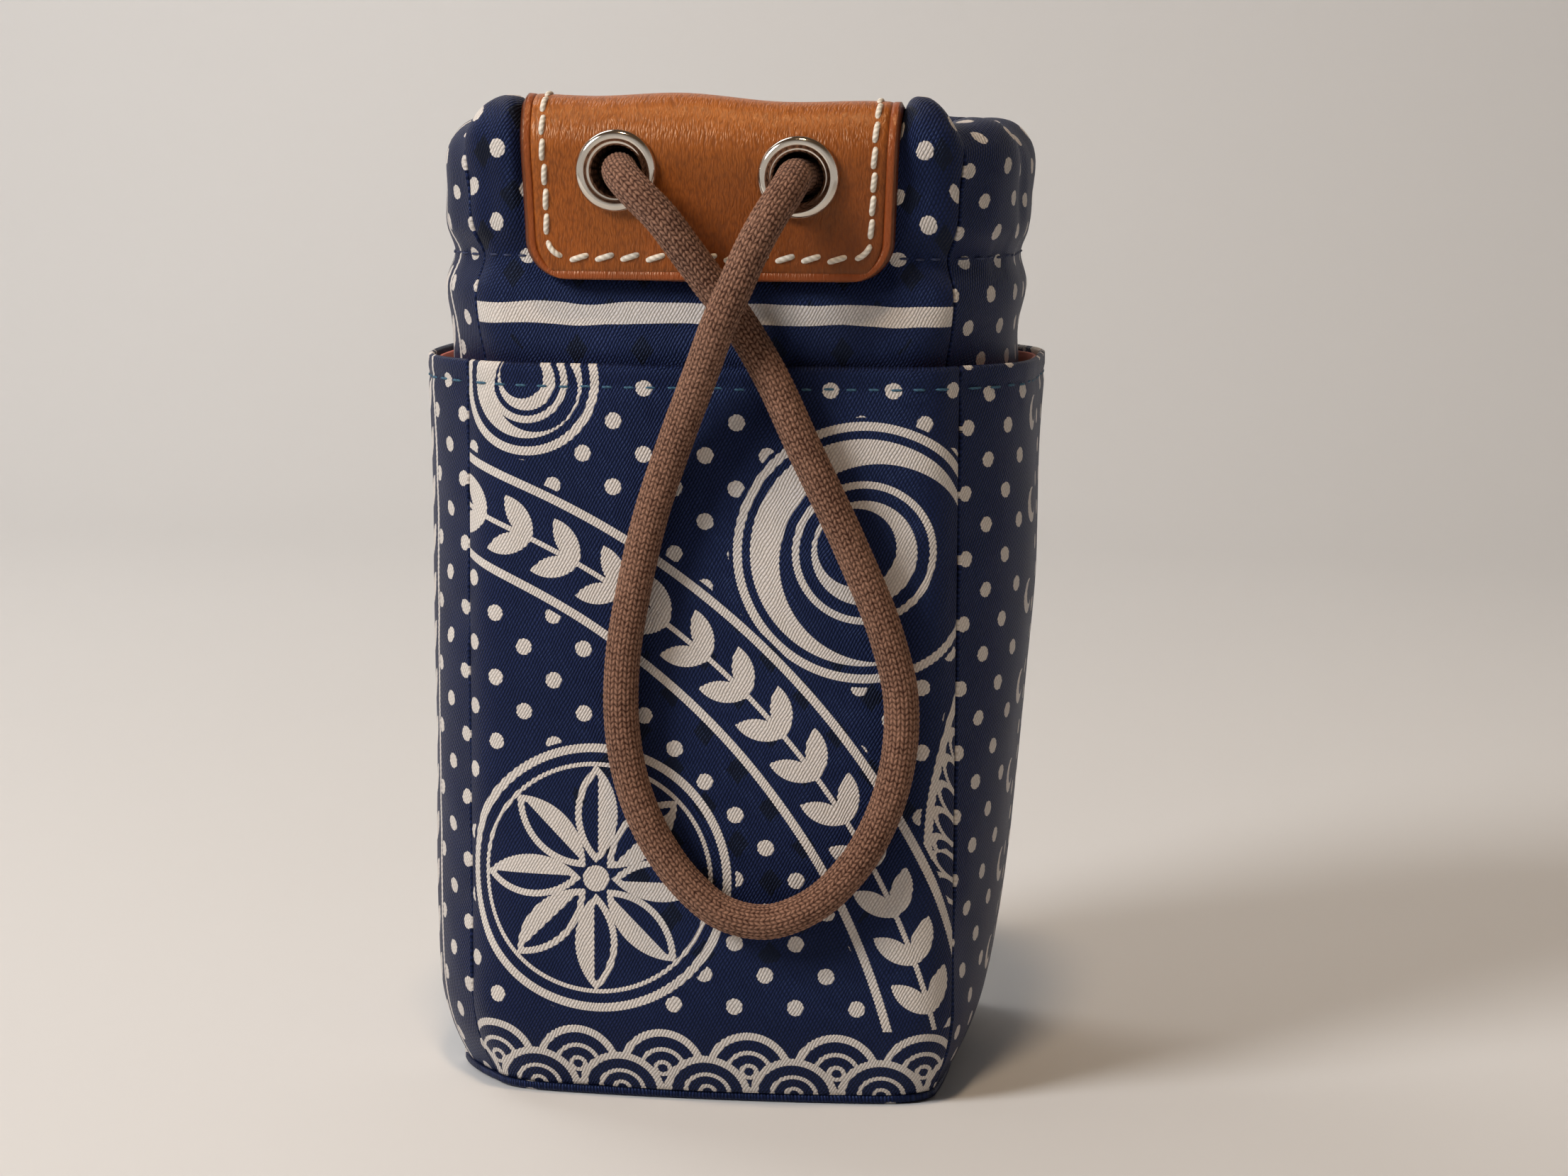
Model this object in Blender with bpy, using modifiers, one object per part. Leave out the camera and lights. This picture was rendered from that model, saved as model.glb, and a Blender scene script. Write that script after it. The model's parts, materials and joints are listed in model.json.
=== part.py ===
"""Kinchaku drawstring pouch: a square-bottomed cloth bag in an outer pocket sleeve, with a leather
tab, two eyelets and one cord. Metres, +Z up. The origin is the centre of the base's underside and
the front faces -Y. Each panel is a cloth shell between two seams. A layer lies at its inset, the
distance from the sleeve's outer face, and a height above the floor."""

import math

import bmesh
import bpy
from mathutils import Vector

# Plan of the bag at the outer face of the sleeve: half distances between the corner seams
SEAM_X = 0.0315
SEAM_Y = 0.0250
BASE_X = 0.0283
BASE_Y = 0.0220
BASE_ROUND = 0.014
BASE_ROUND_POWER = 2.2

# How far each wall stands out from the straight line between its seams
FRONT_BULGE = 0.0055
FRONT_BASE_BULGE = 0.0045
NECK_BULGE = 0.0030
SIDE_BULGE = 0.0084
CROWN_SHARE = 0.36
FLAT_POWER = 14
ROUND_POWER = 3.2

# The side walls: bulge left at the base, height over which they fill out, and how far the drawn
# neck and casing lean in at the crest. The bag stands a little unevenly, as filled cloth does
RIGHT_BASE_BULGE = 0.0008
LEFT_BASE_BULGE = 0.0072
RIGHT_FILL_HEIGHT = 0.076
LEFT_FILL_HEIGHT = 0.030
FILL_POWER = 1.7
NECK_DRAW = 0.0006
RIGHT_TAPER = 0.0020
LEFT_TAPER = 0.0054
TAPER_POWER = 1.4

# Heights
BASE_THICKNESS = 0.0012
POCKET_TOP = 0.0950
LINING_HEM = 0.0006
NECK_START = 0.0960
NECK_END = 0.1040
CASING_SEAM = 0.1085
FRONT_CREST = 0.1266
CORNER_CREST = 0.1286
SIDE_CREST = 0.1250
BACK_CREST = 0.1262

# Cloth, leather and the room between layers
CLOTH = 0.0008
LINING = 0.0005
LEATHER = 0.0015
LAYER_GAP = 0.0003
BODY_ROOM = 0.0003
SEAM_GAP = 0.0002
NECK_RECESS = 0.0008
CASING_ROOM = 0.0072
CORNER_ROOM = 0.0045
PINCH = 0.0008

# How far the casing's sides draw in: above its seam, under its crest and at its inner foot
SEAM_TUCK = 0.0003
CREST_TUCK = 0.0014
INNER_TUCK = 0.0015
INNER_SHOULDER = 0.0005

# Gathers above the casing seam: depth of each fold and how much the edge rises on it
GATHER_DEPTH = 0.0010
EDGE_RISE = 0.0011
SIDE_FOLDS = 3
BACK_FOLDS = 3

# Leather tab, folded over the front of the mouth
TAB_WIDTH = 0.0470
TAB_END_WIDTH = 0.0452
TAB_BOTTOM = 0.1057
TAB_CORNER = 0.0050
TAB_SIDE_GAP = 0.0005
TAB_TILT = 0.030
TAB_ROUND_STOPS = (0.0, 0.076, 0.29, 0.62)
TAB_COLUMNS = 13

# Eyelets
EYELET_X = 0.0114
EYELET_RISE = 0.0104
EYELET_OUTER = 0.0051
EYELET_HOLE = 0.0031
EYELET_WALL = 0.0004
EYELET_HEIGHT = 0.0009
EYELET_SEAT = 0.0005
EYELET_SEGMENTS = 16
WASHER_OUTER = 0.0050
WASHER = 0.0004

# Drawstring
CORD = 0.0044
CORD_STEP = 0.0060

# Free loop of the cord, from inside the left eyelet to inside the right one, as (x, y, z)
LOOP_ROUTE = [
    (-0.01135, -0.0275, 0.1193),
    (-0.0110, -0.0296, 0.1193),
    (-0.0103, -0.0320, 0.1187),
    (-0.0083, -0.0343, 0.1169),
    (-0.0050, -0.0353, 0.1138),
    (-0.0019, -0.0349, 0.1097),
    (0.0009, -0.0340, 0.1058),
    (0.0037, -0.0332, 0.1020),
    (0.0082, -0.0332, 0.0948),
    (0.0127, -0.0331, 0.0854),
    (0.0186, -0.0327, 0.0730),
    (0.0231, -0.0323, 0.0620),
    (0.0249, -0.0320, 0.0545),
    (0.0248, -0.0320, 0.0472),
    (0.0229, -0.0323, 0.0394),
    (0.0186, -0.0328, 0.0318),
    (0.0137, -0.0330, 0.0273),
    (0.0082, -0.0332, 0.0253),
    (0.0028, -0.0333, 0.0263),
    (-0.0017, -0.0333, 0.0298),
    (-0.0052, -0.0332, 0.0343),
    (-0.0086, -0.0331, 0.0416),
    (-0.0102, -0.0330, 0.0500),
    (-0.0101, -0.0331, 0.0581),
    (-0.0087, -0.0332, 0.0670),
    (-0.0064, -0.0333, 0.0769),
    (-0.0033, -0.0341, 0.0859),
    (0.0005, -0.0364, 0.0954),
    (0.0027, -0.0381, 0.1009),
    (0.0050, -0.0384, 0.1060),
    (0.0069, -0.0378, 0.1104),
    (0.0088, -0.0364, 0.1141),
    (0.0104, -0.0341, 0.1169),
    (0.0109, -0.0318, 0.1182),
    (0.0110, -0.0297, 0.1187),
    (0.01135, -0.0275, 0.1187),
]

# Hidden end of the cord behind an eyelet, as (x, y, height from the eyelet's centre), for the
# right side; the left side mirrors it
HIDDEN_END = [
    (0.01142, -0.0271, 0.0),
    (0.0118, -0.0257, 0.0),
    (0.0130, -0.0240, 0.0),
    (0.0148, -0.0228, -0.0001),
    (0.0174, -0.0225, -0.0003),
    (0.0228, -0.0233, -0.0004),
    (0.0280, -0.0220, -0.0005),
]
HIDDEN_STOPS = {
    "right": (-0.8, -0.4, 0.0, 0.4, 0.8),
    "back": (-0.95, -0.5, 0.0, 0.5, 0.95),
    "left": (-0.8, -0.4, 0.0, 0.4, 0.8),
}

SIDES = ("front", "right", "back", "left")
WALL_LEVELS = (0.0040, 0.0080, 0.0140, 0.0380, 0.0640)
FRONT_STOPS = (0.3, 0.58)


def clear_scene():
    for obj in list(bpy.data.objects):
        bpy.data.objects.remove(obj, do_unlink=True)


def new_collection(name):
    collection = bpy.data.collections.new(name)
    bpy.context.scene.collection.children.link(collection)
    return collection


def new_material(name, color, roughness, metallic=0.0):
    material = bpy.data.materials.new(name)
    material.use_nodes = True
    shader = material.node_tree.nodes["Principled BSDF"]
    shader.inputs["Base Color"].default_value = (*color, 1.0)
    shader.inputs["Roughness"].default_value = roughness
    shader.inputs["Metallic"].default_value = metallic
    material.diffuse_color = (*color, 1.0)
    return material


# Plan curves


def ease(low, high, value):
    share = min(max((value - low) / (high - low), 0.0), 1.0)
    return share * share * (3 - 2 * share)


def base_share(z):
    """1 at the base, falling to 0 where the walls have come out to their full plan."""
    return max(0.0, 1.0 - z / BASE_ROUND) ** BASE_ROUND_POWER


def lean(z):
    """Widens an inset near the base, where the walls slope, so that layers stay as far apart."""
    step = 0.0001
    slope = (SEAM_X - BASE_X) * (base_share(z) - base_share(z + step)) / step
    return math.hypot(1.0, slope)


def front_out(t, z):
    low = FRONT_BASE_BULGE + (FRONT_BULGE - FRONT_BASE_BULGE) * (1 - base_share(z))
    out = low + (NECK_BULGE - low) * ease(NECK_START, NECK_END, z)
    return out * (CROWN_SHARE * (1 - t * t) + (1 - CROWN_SHARE) * (1 - abs(t) ** FLAT_POWER))


def side_out(side, t, z):
    if side == "right":
        base_bulge, fill_height, taper = RIGHT_BASE_BULGE, RIGHT_FILL_HEIGHT, RIGHT_TAPER
    else:
        base_bulge, fill_height, taper = LEFT_BASE_BULGE, LEFT_FILL_HEIGHT, LEFT_TAPER
    empty = max(0.0, 1.0 - z / fill_height) ** FILL_POWER
    above_neck = max(0.0, (z - NECK_END) / (FRONT_CREST - NECK_END))
    out = SIDE_BULGE + (base_bulge - SIDE_BULGE) * empty
    out -= NECK_DRAW * ease(NECK_START, NECK_END, z) + taper * above_neck**TAPER_POWER
    return out * (1 - abs(t) ** ROUND_POWER)


def tab_edge():
    """The place across the front, as t, where the tab ends and the gathers start."""
    return (TAB_WIDTH / 2 + TAB_SIDE_GAP) / SEAM_X


def fold_shape(side, t):
    """0 in the valleys and at the seams, 1 on the ridges of the gathers."""
    if side == "front":
        share = max(0.0, abs(t) - tab_edge()) / (1 - tab_edge())
        return 1 - abs(2 * share - 1) ** 3
    count = BACK_FOLDS if side == "back" else SIDE_FOLDS
    return math.sin(math.pi * count * (t + 1) / 2) ** 2


def gather(side, t, inset, z):
    """How far a fold stands out: nothing at the casing seam, and nothing on the inner side."""
    outside = 1 - ease(FULL_INSET, (FULL_INSET + INNER_INSET) / 2, inset)
    return GATHER_DEPTH * fold_shape(side, t) * ease(CASING_SEAM, FRONT_CREST, z) * outside


def crest(side, t):
    """Height of the mouth's edge."""
    if side == "front":
        behind_tab = FRONT_CREST - TAB_TILT * t * SEAM_X
        return behind_tab + (CORNER_CREST - behind_tab) * fold_shape(side, t)
    base_height = BACK_CREST if side == "back" else SIDE_CREST
    return base_height + EDGE_RISE * fold_shape(side, t)


def front_x(t, half_x, z):
    """Above the neck the cloth behind the tab keeps its width on all layers, as the tab does."""
    flat = t * half_x
    edge = tab_edge()
    kept = t * SEAM_X
    if abs(t) > edge:
        past = (abs(t) - edge) / (1 - edge)
        kept = math.copysign(edge * SEAM_X + past * (half_x - edge * SEAM_X), t)
    return flat + (kept - flat) * ease(NECK_START, NECK_END, z)


def wall_point(side, t, inset, z):
    """A point of a wall: t runs from -1 to 1 between its seams, left to right from outside."""
    half_x, half_y = (
        BASE_X + (SEAM_X - BASE_X) * (1 - base_share(z)) - inset * lean(z),
        BASE_Y + (SEAM_Y - BASE_Y) * (1 - base_share(z)) - inset * lean(z),
    )
    if side in ("front", "back"):
        out = front_out(t, z) + gather(side, t, inset, z)
        if side == "front":
            return Vector((front_x(t, half_x, z), -half_y - out, z))
        return Vector((-t * half_x, half_y + out, z))
    out = side_out(side, t, z) + gather(side, t, inset, z)
    if side == "right":
        return Vector((half_x + out, t * half_y, z))
    return Vector((-half_x - out, -t * half_y, z))


def seam_inset(side):
    """The step back from a seam, as a share of t, that leaves room for the next panel."""
    return SEAM_GAP / (SEAM_X if side in ("front", "back") else SEAM_Y)


def columns(side, coarse=False):
    """Places across a wall, closer together near the seams where it turns."""
    if side == "front":
        edge = tab_edge()
        step = (1 - edge) / 4
        half = [*FRONT_STOPS, edge, edge + step, edge + 2 * step, edge + 3 * step, 1.0]
        places = [-t for t in reversed(half)] + [0.0] + half
    else:
        count = 10 if side == "back" else 12
        places = [math.sin(math.pi / 2 * (2 * i / count - 1)) for i in range(count + 1)]
    if coarse:
        places = places[::2]
    end = 1 - seam_inset(side)
    return [-end] + places[1:-1] + [end]


# Sections of a wall, as (inset, height) through the middle of the cloth

BODY_INSET = CLOTH + LAYER_GAP + LINING + BODY_ROOM + CLOTH / 2
BODY_LINING_INSET = BODY_INSET + CLOTH / 2 + LAYER_GAP + LINING / 2
NECK_INSET = BODY_INSET - NECK_RECESS
FULL_INSET = NECK_INSET - NECK_RECESS
INNER_INSET = FULL_INSET + CLOTH + CASING_ROOM
CORNER_INSET = FULL_INSET + CLOTH + CORNER_ROOM


def inner_inset(t):
    """Inset of the casing's inner side, which comes nearer the outer one at the corner seams."""
    return INNER_INSET + (CORNER_INSET - INNER_INSET) * abs(t) ** 4


def channel_inset(t):
    """Inset of the middle of the channel that the cord runs in."""
    return (FULL_INSET + inner_inset(t)) / 2


def wall_floor():
    return BASE_THICKNESS + LAYER_GAP


def pocket_section(inset, top):
    return [(inset, z) for z in (wall_floor(), *WALL_LEVELS, top)]


def casing_section(side, t):
    """The casing above its seam: up the outside, over the crest and down inside."""
    rise = crest(side, t) - CASING_SEAM
    inner = inner_inset(t)
    middle = (FULL_INSET + inner) / 2
    outside = [
        (FULL_INSET + SEAM_TUCK, 0.20),
        (FULL_INSET, 0.45),
        (FULL_INSET, 0.85),
        (FULL_INSET + CREST_TUCK, 0.95),
    ]
    inside = [
        (inner - INNER_TUCK, 0.93),
        (inner - INNER_SHOULDER, 0.80),
        (inner, 0.50),
        (inner - INNER_TUCK, 0.20),
        (BODY_LINING_INSET + LAYER_GAP, 0.02),
    ]
    top = [(middle, (rise - CLOTH / 2) / rise)]
    return [(inset, CASING_SEAM + rise * share) for inset, share in outside + top + inside]


def body_section(side, t):
    wall = [(BODY_INSET, z) for z in (wall_floor(), *WALL_LEVELS, POCKET_TOP + LAYER_GAP)]
    neck = [
        (NECK_INSET + 0.0001, (POCKET_TOP + NECK_END) / 2),
        (NECK_INSET - 0.0002, NECK_END),
        (NECK_INSET + PINCH, CASING_SEAM),
    ]
    return wall + neck + casing_section(side, t)


def body_lining_section():
    top = CASING_SEAM - LAYER_GAP
    return [
        (BODY_LINING_INSET, z)
        for z in (wall_floor(), *WALL_LEVELS, POCKET_TOP + LAYER_GAP, NECK_END, top)
    ]


# Solids


def add_mesh_object(name, mesh, material, collection):
    mesh.materials.append(material)
    obj = bpy.data.objects.new(name, mesh)
    collection.objects.link(obj)
    return obj


def grid_object(name, rows, material, collection, thickness):
    """A shell through a grid of points, given thickness equally on both sides."""
    bm = bmesh.new()
    verts = [[bm.verts.new(point) for point in row] for row in rows]
    for lower, upper in zip(verts, verts[1:]):
        for i in range(len(lower) - 1):
            bm.faces.new((lower[i], lower[i + 1], upper[i + 1], upper[i]))
    mesh = bpy.data.meshes.new(name)
    bm.to_mesh(mesh)
    bm.free()
    obj = add_mesh_object(name, mesh, material, collection)
    shell = obj.modifiers.new("Thickness", "SOLIDIFY")
    shell.thickness = thickness
    shell.offset = 0.0
    mesh.shade_smooth()
    mesh.set_sharp_from_angle(angle=math.radians(50))
    return obj


def add_panel(name, side, section, material, collection, thickness, coarse=False):
    """section(t) gives the (inset, height) points of the panel at t."""
    places = columns(side, coarse)
    sections = [section(t) for t in places]
    rows = [
        [wall_point(side, t, *sections[i][level]) for i, t in enumerate(places)]
        for level in range(len(sections[0]))
    ]
    return grid_object(name, rows, material, collection, thickness)


def outline(inset, z):
    """The closed plan of the bag at one inset and height, seam to seam round four walls."""
    points = []
    for side in SIDES:
        for t in columns(side, coarse=True)[:-1]:
            points.append(wall_point(side, t, inset, z))
    return points


def add_plate(name, rings, material, collection):
    """A closed plate through rings of equal counts, from the lowest ring to the highest."""
    bm = bmesh.new()
    verts = [[bm.verts.new(point) for point in ring] for ring in rings]
    count = len(verts[0])
    for lower, upper in zip(verts, verts[1:]):
        for i in range(count):
            j = (i + 1) % count
            bm.faces.new((lower[i], lower[j], upper[j], upper[i]))
    bm.faces.new(reversed(verts[0]))
    bm.faces.new(verts[-1])
    mesh = bpy.data.meshes.new(name)
    bm.to_mesh(mesh)
    bm.free()
    return add_mesh_object(name, mesh, material, collection)


def add_base(cloth, lining, collection):
    edge = 0.0005
    plan = outline(0.0, wall_floor())
    rings = [
        [Vector((p.x * (1 - edge / BASE_X), p.y * (1 - edge / BASE_Y), 0.0)) for p in plan],
        [Vector((p.x, p.y, edge)) for p in plan],
        [Vector((p.x, p.y, BASE_THICKNESS)) for p in plan],
    ]
    add_plate("base_panel", rings, cloth, collection)
    inset = BODY_LINING_INSET + LINING / 2 + LAYER_GAP
    floor = wall_floor()
    rings = [
        [Vector((p.x, p.y, z)) for p in outline(inset, floor)] for z in (floor, floor + LINING)
    ]
    add_plate("base_lining", rings, lining, collection)


# Leather tab


def offset_section(section, distance):
    """A section moved sideways by distance, to the outside of the cloth."""
    moved = []
    for i, (inset, z) in enumerate(section):
        before = section[max(i - 1, 0)]
        after = section[min(i + 1, len(section) - 1)]
        run, climb = after[0] - before[0], after[1] - before[1]
        length = math.hypot(run, climb)
        moved.append((inset - distance * climb / length, z + distance * run / length))
    return moved


def tab_section(t):
    """Up the front, over the mouth and down inside, through the middle of the leather."""
    distance = CLOTH / 2 + LAYER_GAP + LEATHER / 2
    over = offset_section(casing_section("front", t), distance)
    front_inset = over[0][0]
    inner_inset = over[-1][0]
    rises = [TAB_CORNER * share for share in TAB_ROUND_STOPS]
    front = [(front_inset, TAB_BOTTOM + rise) for rise in rises]
    inside = [(inner_inset, TAB_BOTTOM + rise) for rise in reversed(rises[:-1])]
    return front + over + inside


def tab_half_width(path_length, total):
    """Half width of the tab at a length along its fold: tapered to the ends, corners round."""
    from_end = min(path_length, total - path_length)
    taper = TAB_END_WIDTH + (TAB_WIDTH - TAB_END_WIDTH) * min(1.0, 2 * from_end / total * 1.2)
    short = max(0.0, TAB_CORNER - from_end)
    return taper / 2 - TAB_CORNER + math.sqrt(TAB_CORNER**2 - short**2)


def add_tab(material, collection):
    section = tab_section(0.0)
    lengths = [0.0]
    for before, after in zip(section, section[1:]):
        lengths.append(lengths[-1] + math.dist(before, after))
    places = [2 * i / (TAB_COLUMNS - 1) - 1 for i in range(TAB_COLUMNS)]
    rows = []
    for level, length in enumerate(lengths):
        half = tab_half_width(length, lengths[-1])
        stations = [place * half / SEAM_X for place in places]
        rows.append([wall_point("front", t, *tab_section(t)[level]) for t in stations])
    return grid_object("leather_tab", rows, material, collection, LEATHER)


# Eyelets


def eyelet_z(x):
    """Height of an eyelet's centre, which follows the tab's tilt."""
    return CASING_SEAM + EYELET_RISE - TAB_TILT * x


def front_face_y(inset):
    """Y of the front wall between the eyelets' heights."""
    return wall_point("front", EYELET_X / SEAM_X, inset, eyelet_z(0.0)).y


def turned_object(name, profile, material, collection):
    """A ring turned round its Z axis from a closed profile of (radius, height)."""
    bm = bmesh.new()
    verts = [bm.verts.new((radius, 0.0, height)) for radius, height in profile]
    for i, vert in enumerate(verts):
        bm.edges.new((vert, verts[(i + 1) % len(verts)]))
    mesh = bpy.data.meshes.new(name)
    bm.to_mesh(mesh)
    bm.free()
    obj = add_mesh_object(name, mesh, material, collection)
    screw = obj.modifiers.new("Turn", "SCREW")
    screw.axis = "Z"
    screw.steps = EYELET_SEGMENTS
    screw.render_steps = EYELET_SEGMENTS
    screw.use_merge_vertices = True
    screw.merge_threshold = 0.00001
    screw.use_smooth_shade = True
    return obj


def eyelet_depth():
    """From the leather's front face back to the face of the washer."""
    return LEATHER + LAYER_GAP + CLOTH + EYELET_SEAT


def eyelet_profile():
    """Flange in front of the leather, barrel through it, lip rolled out behind the washer."""
    throat, barrel = EYELET_HOLE, EYELET_HOLE + EYELET_WALL
    lip = eyelet_depth() + WASHER + LAYER_GAP
    foot = EYELET_SEAT
    top = foot + EYELET_HEIGHT
    rim = EYELET_OUTER - throat
    return [
        (throat, foot),
        (throat + 0.14 * rim, top - 0.0002),
        (throat + 0.40 * rim, top),
        (throat + 0.75 * rim, top - 0.0002),
        (EYELET_OUTER, foot + 0.0002),
        (EYELET_OUTER - 0.0001, foot),
        (barrel, foot),
        (barrel, -lip),
        (barrel + 0.0008, -lip - 0.0001),
        (barrel + 0.0008, -lip - 0.0004),
        (throat + 0.0006, -lip - 0.0003),
        (throat, -lip + 0.0008),
    ]


def washer_profile():
    hole = EYELET_HOLE + EYELET_WALL + LAYER_GAP
    front = -eyelet_depth()
    return [(hole, front), (WASHER_OUTER, front), (WASHER_OUTER, front - WASHER), (hole, front - WASHER)]


def add_eyelets(metal, collection, cutters, cut_objects):
    leather_face = front_face_y(tab_inset_at_eyelet() - LEATHER / 2)
    for side_name, x in (("left", -EYELET_X), ("right", EYELET_X)):
        for name, profile in (("eyelet", eyelet_profile()), ("eyelet_washer", washer_profile())):
            ring = turned_object(f"{name}_{side_name}", profile, metal, collection)
            ring.location = (x, leather_face, eyelet_z(x))
            ring.rotation_euler = (math.radians(90), 0.0, 0.0)
        cutter = eyelet_cutter(f"eyelet_hole_{side_name}", x, leather_face, cutters)
        for obj in cut_objects:
            hole = obj.modifiers.new(f"Eyelet {side_name}", "BOOLEAN")
            hole.operation = "DIFFERENCE"
            hole.object = cutter


def tab_inset_at_eyelet():
    """Inset of the middle of the leather at the eyelets' height."""
    section = tab_section(EYELET_X / SEAM_X)
    for (inset_low, low), (inset_high, high) in zip(section, section[1:]):
        if low <= eyelet_z(0.0) <= high:
            return inset_low + (inset_high - inset_low) * (eyelet_z(0.0) - low) / (high - low)
    return FULL_INSET


def eyelet_cutter(name, x, leather_face, cutters):
    """A cylinder through the leather and the outer side of the casing only."""
    ahead, behind = 0.0020, eyelet_depth() + 0.0010
    bm = bmesh.new()
    bmesh.ops.create_cone(
        bm,
        cap_ends=True,
        segments=EYELET_SEGMENTS,
        radius1=EYELET_HOLE + EYELET_WALL + LAYER_GAP,
        radius2=EYELET_HOLE + EYELET_WALL + LAYER_GAP,
        depth=ahead + behind,
    )
    mesh = bpy.data.meshes.new(name)
    bm.to_mesh(mesh)
    bm.free()
    cutter = bpy.data.objects.new(name, mesh)
    cutters.objects.link(cutter)
    cutter.location = (x, leather_face + (behind - ahead) / 2, eyelet_z(x))
    cutter.rotation_euler = (math.radians(90), 0.0, 0.0)
    cutter.hide_render = True
    cutter.display_type = "WIRE"
    return cutter


# Drawstring


def smooth_route(points, step):
    """Points about a step apart on a smooth curve through the route's own points."""
    points = [Vector(p) for p in points]
    ends = [2 * points[0] - points[1], *points, 2 * points[-1] - points[-2]]
    route = [points[0]]
    for a, b, c, d in zip(ends, ends[1:], ends[2:], ends[3:]):
        count = max(1, round((c - b).length / step))
        for i in range(1, count + 1):
            s = i / count
            route.append(
                0.5
                * (
                    2 * b
                    + (c - a) * s
                    + (2 * a - 5 * b + 4 * c - d) * s**2
                    + (3 * b - a - 3 * c + d) * s**3
                )
            )
    return route


def add_cord(name, route, material, collection):
    curve = bpy.data.curves.new(name, "CURVE")
    curve.dimensions = "3D"
    curve.bevel_depth = CORD / 2
    curve.bevel_resolution = 2
    curve.use_fill_caps = True
    spline = curve.splines.new("POLY")
    spline.points.add(len(route) - 1)
    for point, place in zip(spline.points, route):
        point.co = (*place, 1.0)
    curve.materials.append(material)
    obj = bpy.data.objects.new(name, curve)
    collection.objects.link(obj)
    return obj


def hidden_route():
    """Round the mouth inside the casing, from the right eyelet to the left one."""
    share = EYELET_RISE / (FRONT_CREST - CASING_SEAM)
    right = [Vector((x, y, eyelet_z(EYELET_X) + rise)) for x, y, rise in HIDDEN_END]
    middle = []
    for side, stops in HIDDEN_STOPS.items():
        z = CASING_SEAM + share * (crest(side, 0.0) - CASING_SEAM)
        middle += [wall_point(side, t, channel_inset(t), z) for t in stops]
    left = [Vector((-x, y, eyelet_z(-EYELET_X) + rise)) for x, y, rise in reversed(HIDDEN_END)]
    return right + middle + left


def main():
    clear_scene()
    pouch = new_collection("Kinchaku drawstring pouch")
    cutters = new_collection("Cutters")

    print_cloth = new_material("Printed twill", (0.018, 0.034, 0.110), 0.62)
    lining = new_material("Orange lining", (0.620, 0.115, 0.060), 0.70)
    leather = new_material("Tan leather", (0.330, 0.105, 0.028), 0.45)
    nickel = new_material("Nickel", (0.720, 0.690, 0.640), 0.18, 1.0)
    cotton = new_material("Brown cotton cord", (0.160, 0.080, 0.055), 0.85)

    for side in SIDES:
        middle = CLOTH / 2
        add_panel(
            f"{side}_pocket_panel", side,
            lambda t, inset=middle: pocket_section(inset, POCKET_TOP),
            print_cloth, pouch, CLOTH,
        )
        middle = CLOTH + LAYER_GAP + LINING / 2
        add_panel(
            f"{side}_pocket_lining", side,
            lambda t, inset=middle: pocket_section(inset, POCKET_TOP - LINING_HEM),
            lining, pouch, LINING,
        )
    bodies = {
        side: add_panel(
            f"{side}_body_panel", side,
            lambda t, side=side: body_section(side, t),
            print_cloth, pouch, CLOTH,
        )
        for side in SIDES
    }
    for side in SIDES:
        add_panel(
            f"{side}_body_lining", side,
            lambda t: body_lining_section(),
            lining, pouch, LINING, coarse=True,
        )
    add_base(print_cloth, lining, pouch)
    tab = add_tab(leather, pouch)
    add_eyelets(nickel, pouch, cutters, [tab, bodies["front"]])
    add_cord("drawstring_loop", smooth_route(LOOP_ROUTE, CORD_STEP), cotton, pouch)
    add_cord("drawstring_in_casing", smooth_route(hidden_route(), CORD_STEP), cotton, pouch)


main()
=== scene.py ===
"""Looks of the kinchaku drawstring pouch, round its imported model.

Each soft piece is built again from the source's own wall formulas, much finer, with the small folds
and puckers that cloth has, and stands for one node. Lengths in the code are metres. Materials read
the "cloth" attribute, millimetres along and up a piece, so that weave and print keep their scale."""

import functools
import json
import math

import bpy
import numpy as np
from mathutils import Matrix, Vector

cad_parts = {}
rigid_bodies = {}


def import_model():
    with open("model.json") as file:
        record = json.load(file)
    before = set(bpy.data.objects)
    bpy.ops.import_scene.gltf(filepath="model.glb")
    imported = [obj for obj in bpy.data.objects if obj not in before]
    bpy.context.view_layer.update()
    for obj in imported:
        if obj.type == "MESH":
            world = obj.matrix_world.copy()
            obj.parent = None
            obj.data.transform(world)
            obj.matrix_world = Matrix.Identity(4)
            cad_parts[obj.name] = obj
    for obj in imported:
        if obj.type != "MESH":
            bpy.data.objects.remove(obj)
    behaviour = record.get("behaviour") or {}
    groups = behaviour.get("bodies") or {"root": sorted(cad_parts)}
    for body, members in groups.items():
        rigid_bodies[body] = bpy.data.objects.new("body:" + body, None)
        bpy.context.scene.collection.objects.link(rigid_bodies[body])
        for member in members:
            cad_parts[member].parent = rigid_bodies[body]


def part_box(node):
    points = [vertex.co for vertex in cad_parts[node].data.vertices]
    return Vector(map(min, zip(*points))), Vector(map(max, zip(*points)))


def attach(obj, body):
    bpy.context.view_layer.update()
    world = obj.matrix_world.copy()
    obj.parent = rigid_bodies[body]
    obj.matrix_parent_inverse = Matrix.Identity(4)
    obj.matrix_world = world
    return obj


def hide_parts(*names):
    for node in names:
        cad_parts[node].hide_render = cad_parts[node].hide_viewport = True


MM = 0.001

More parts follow.
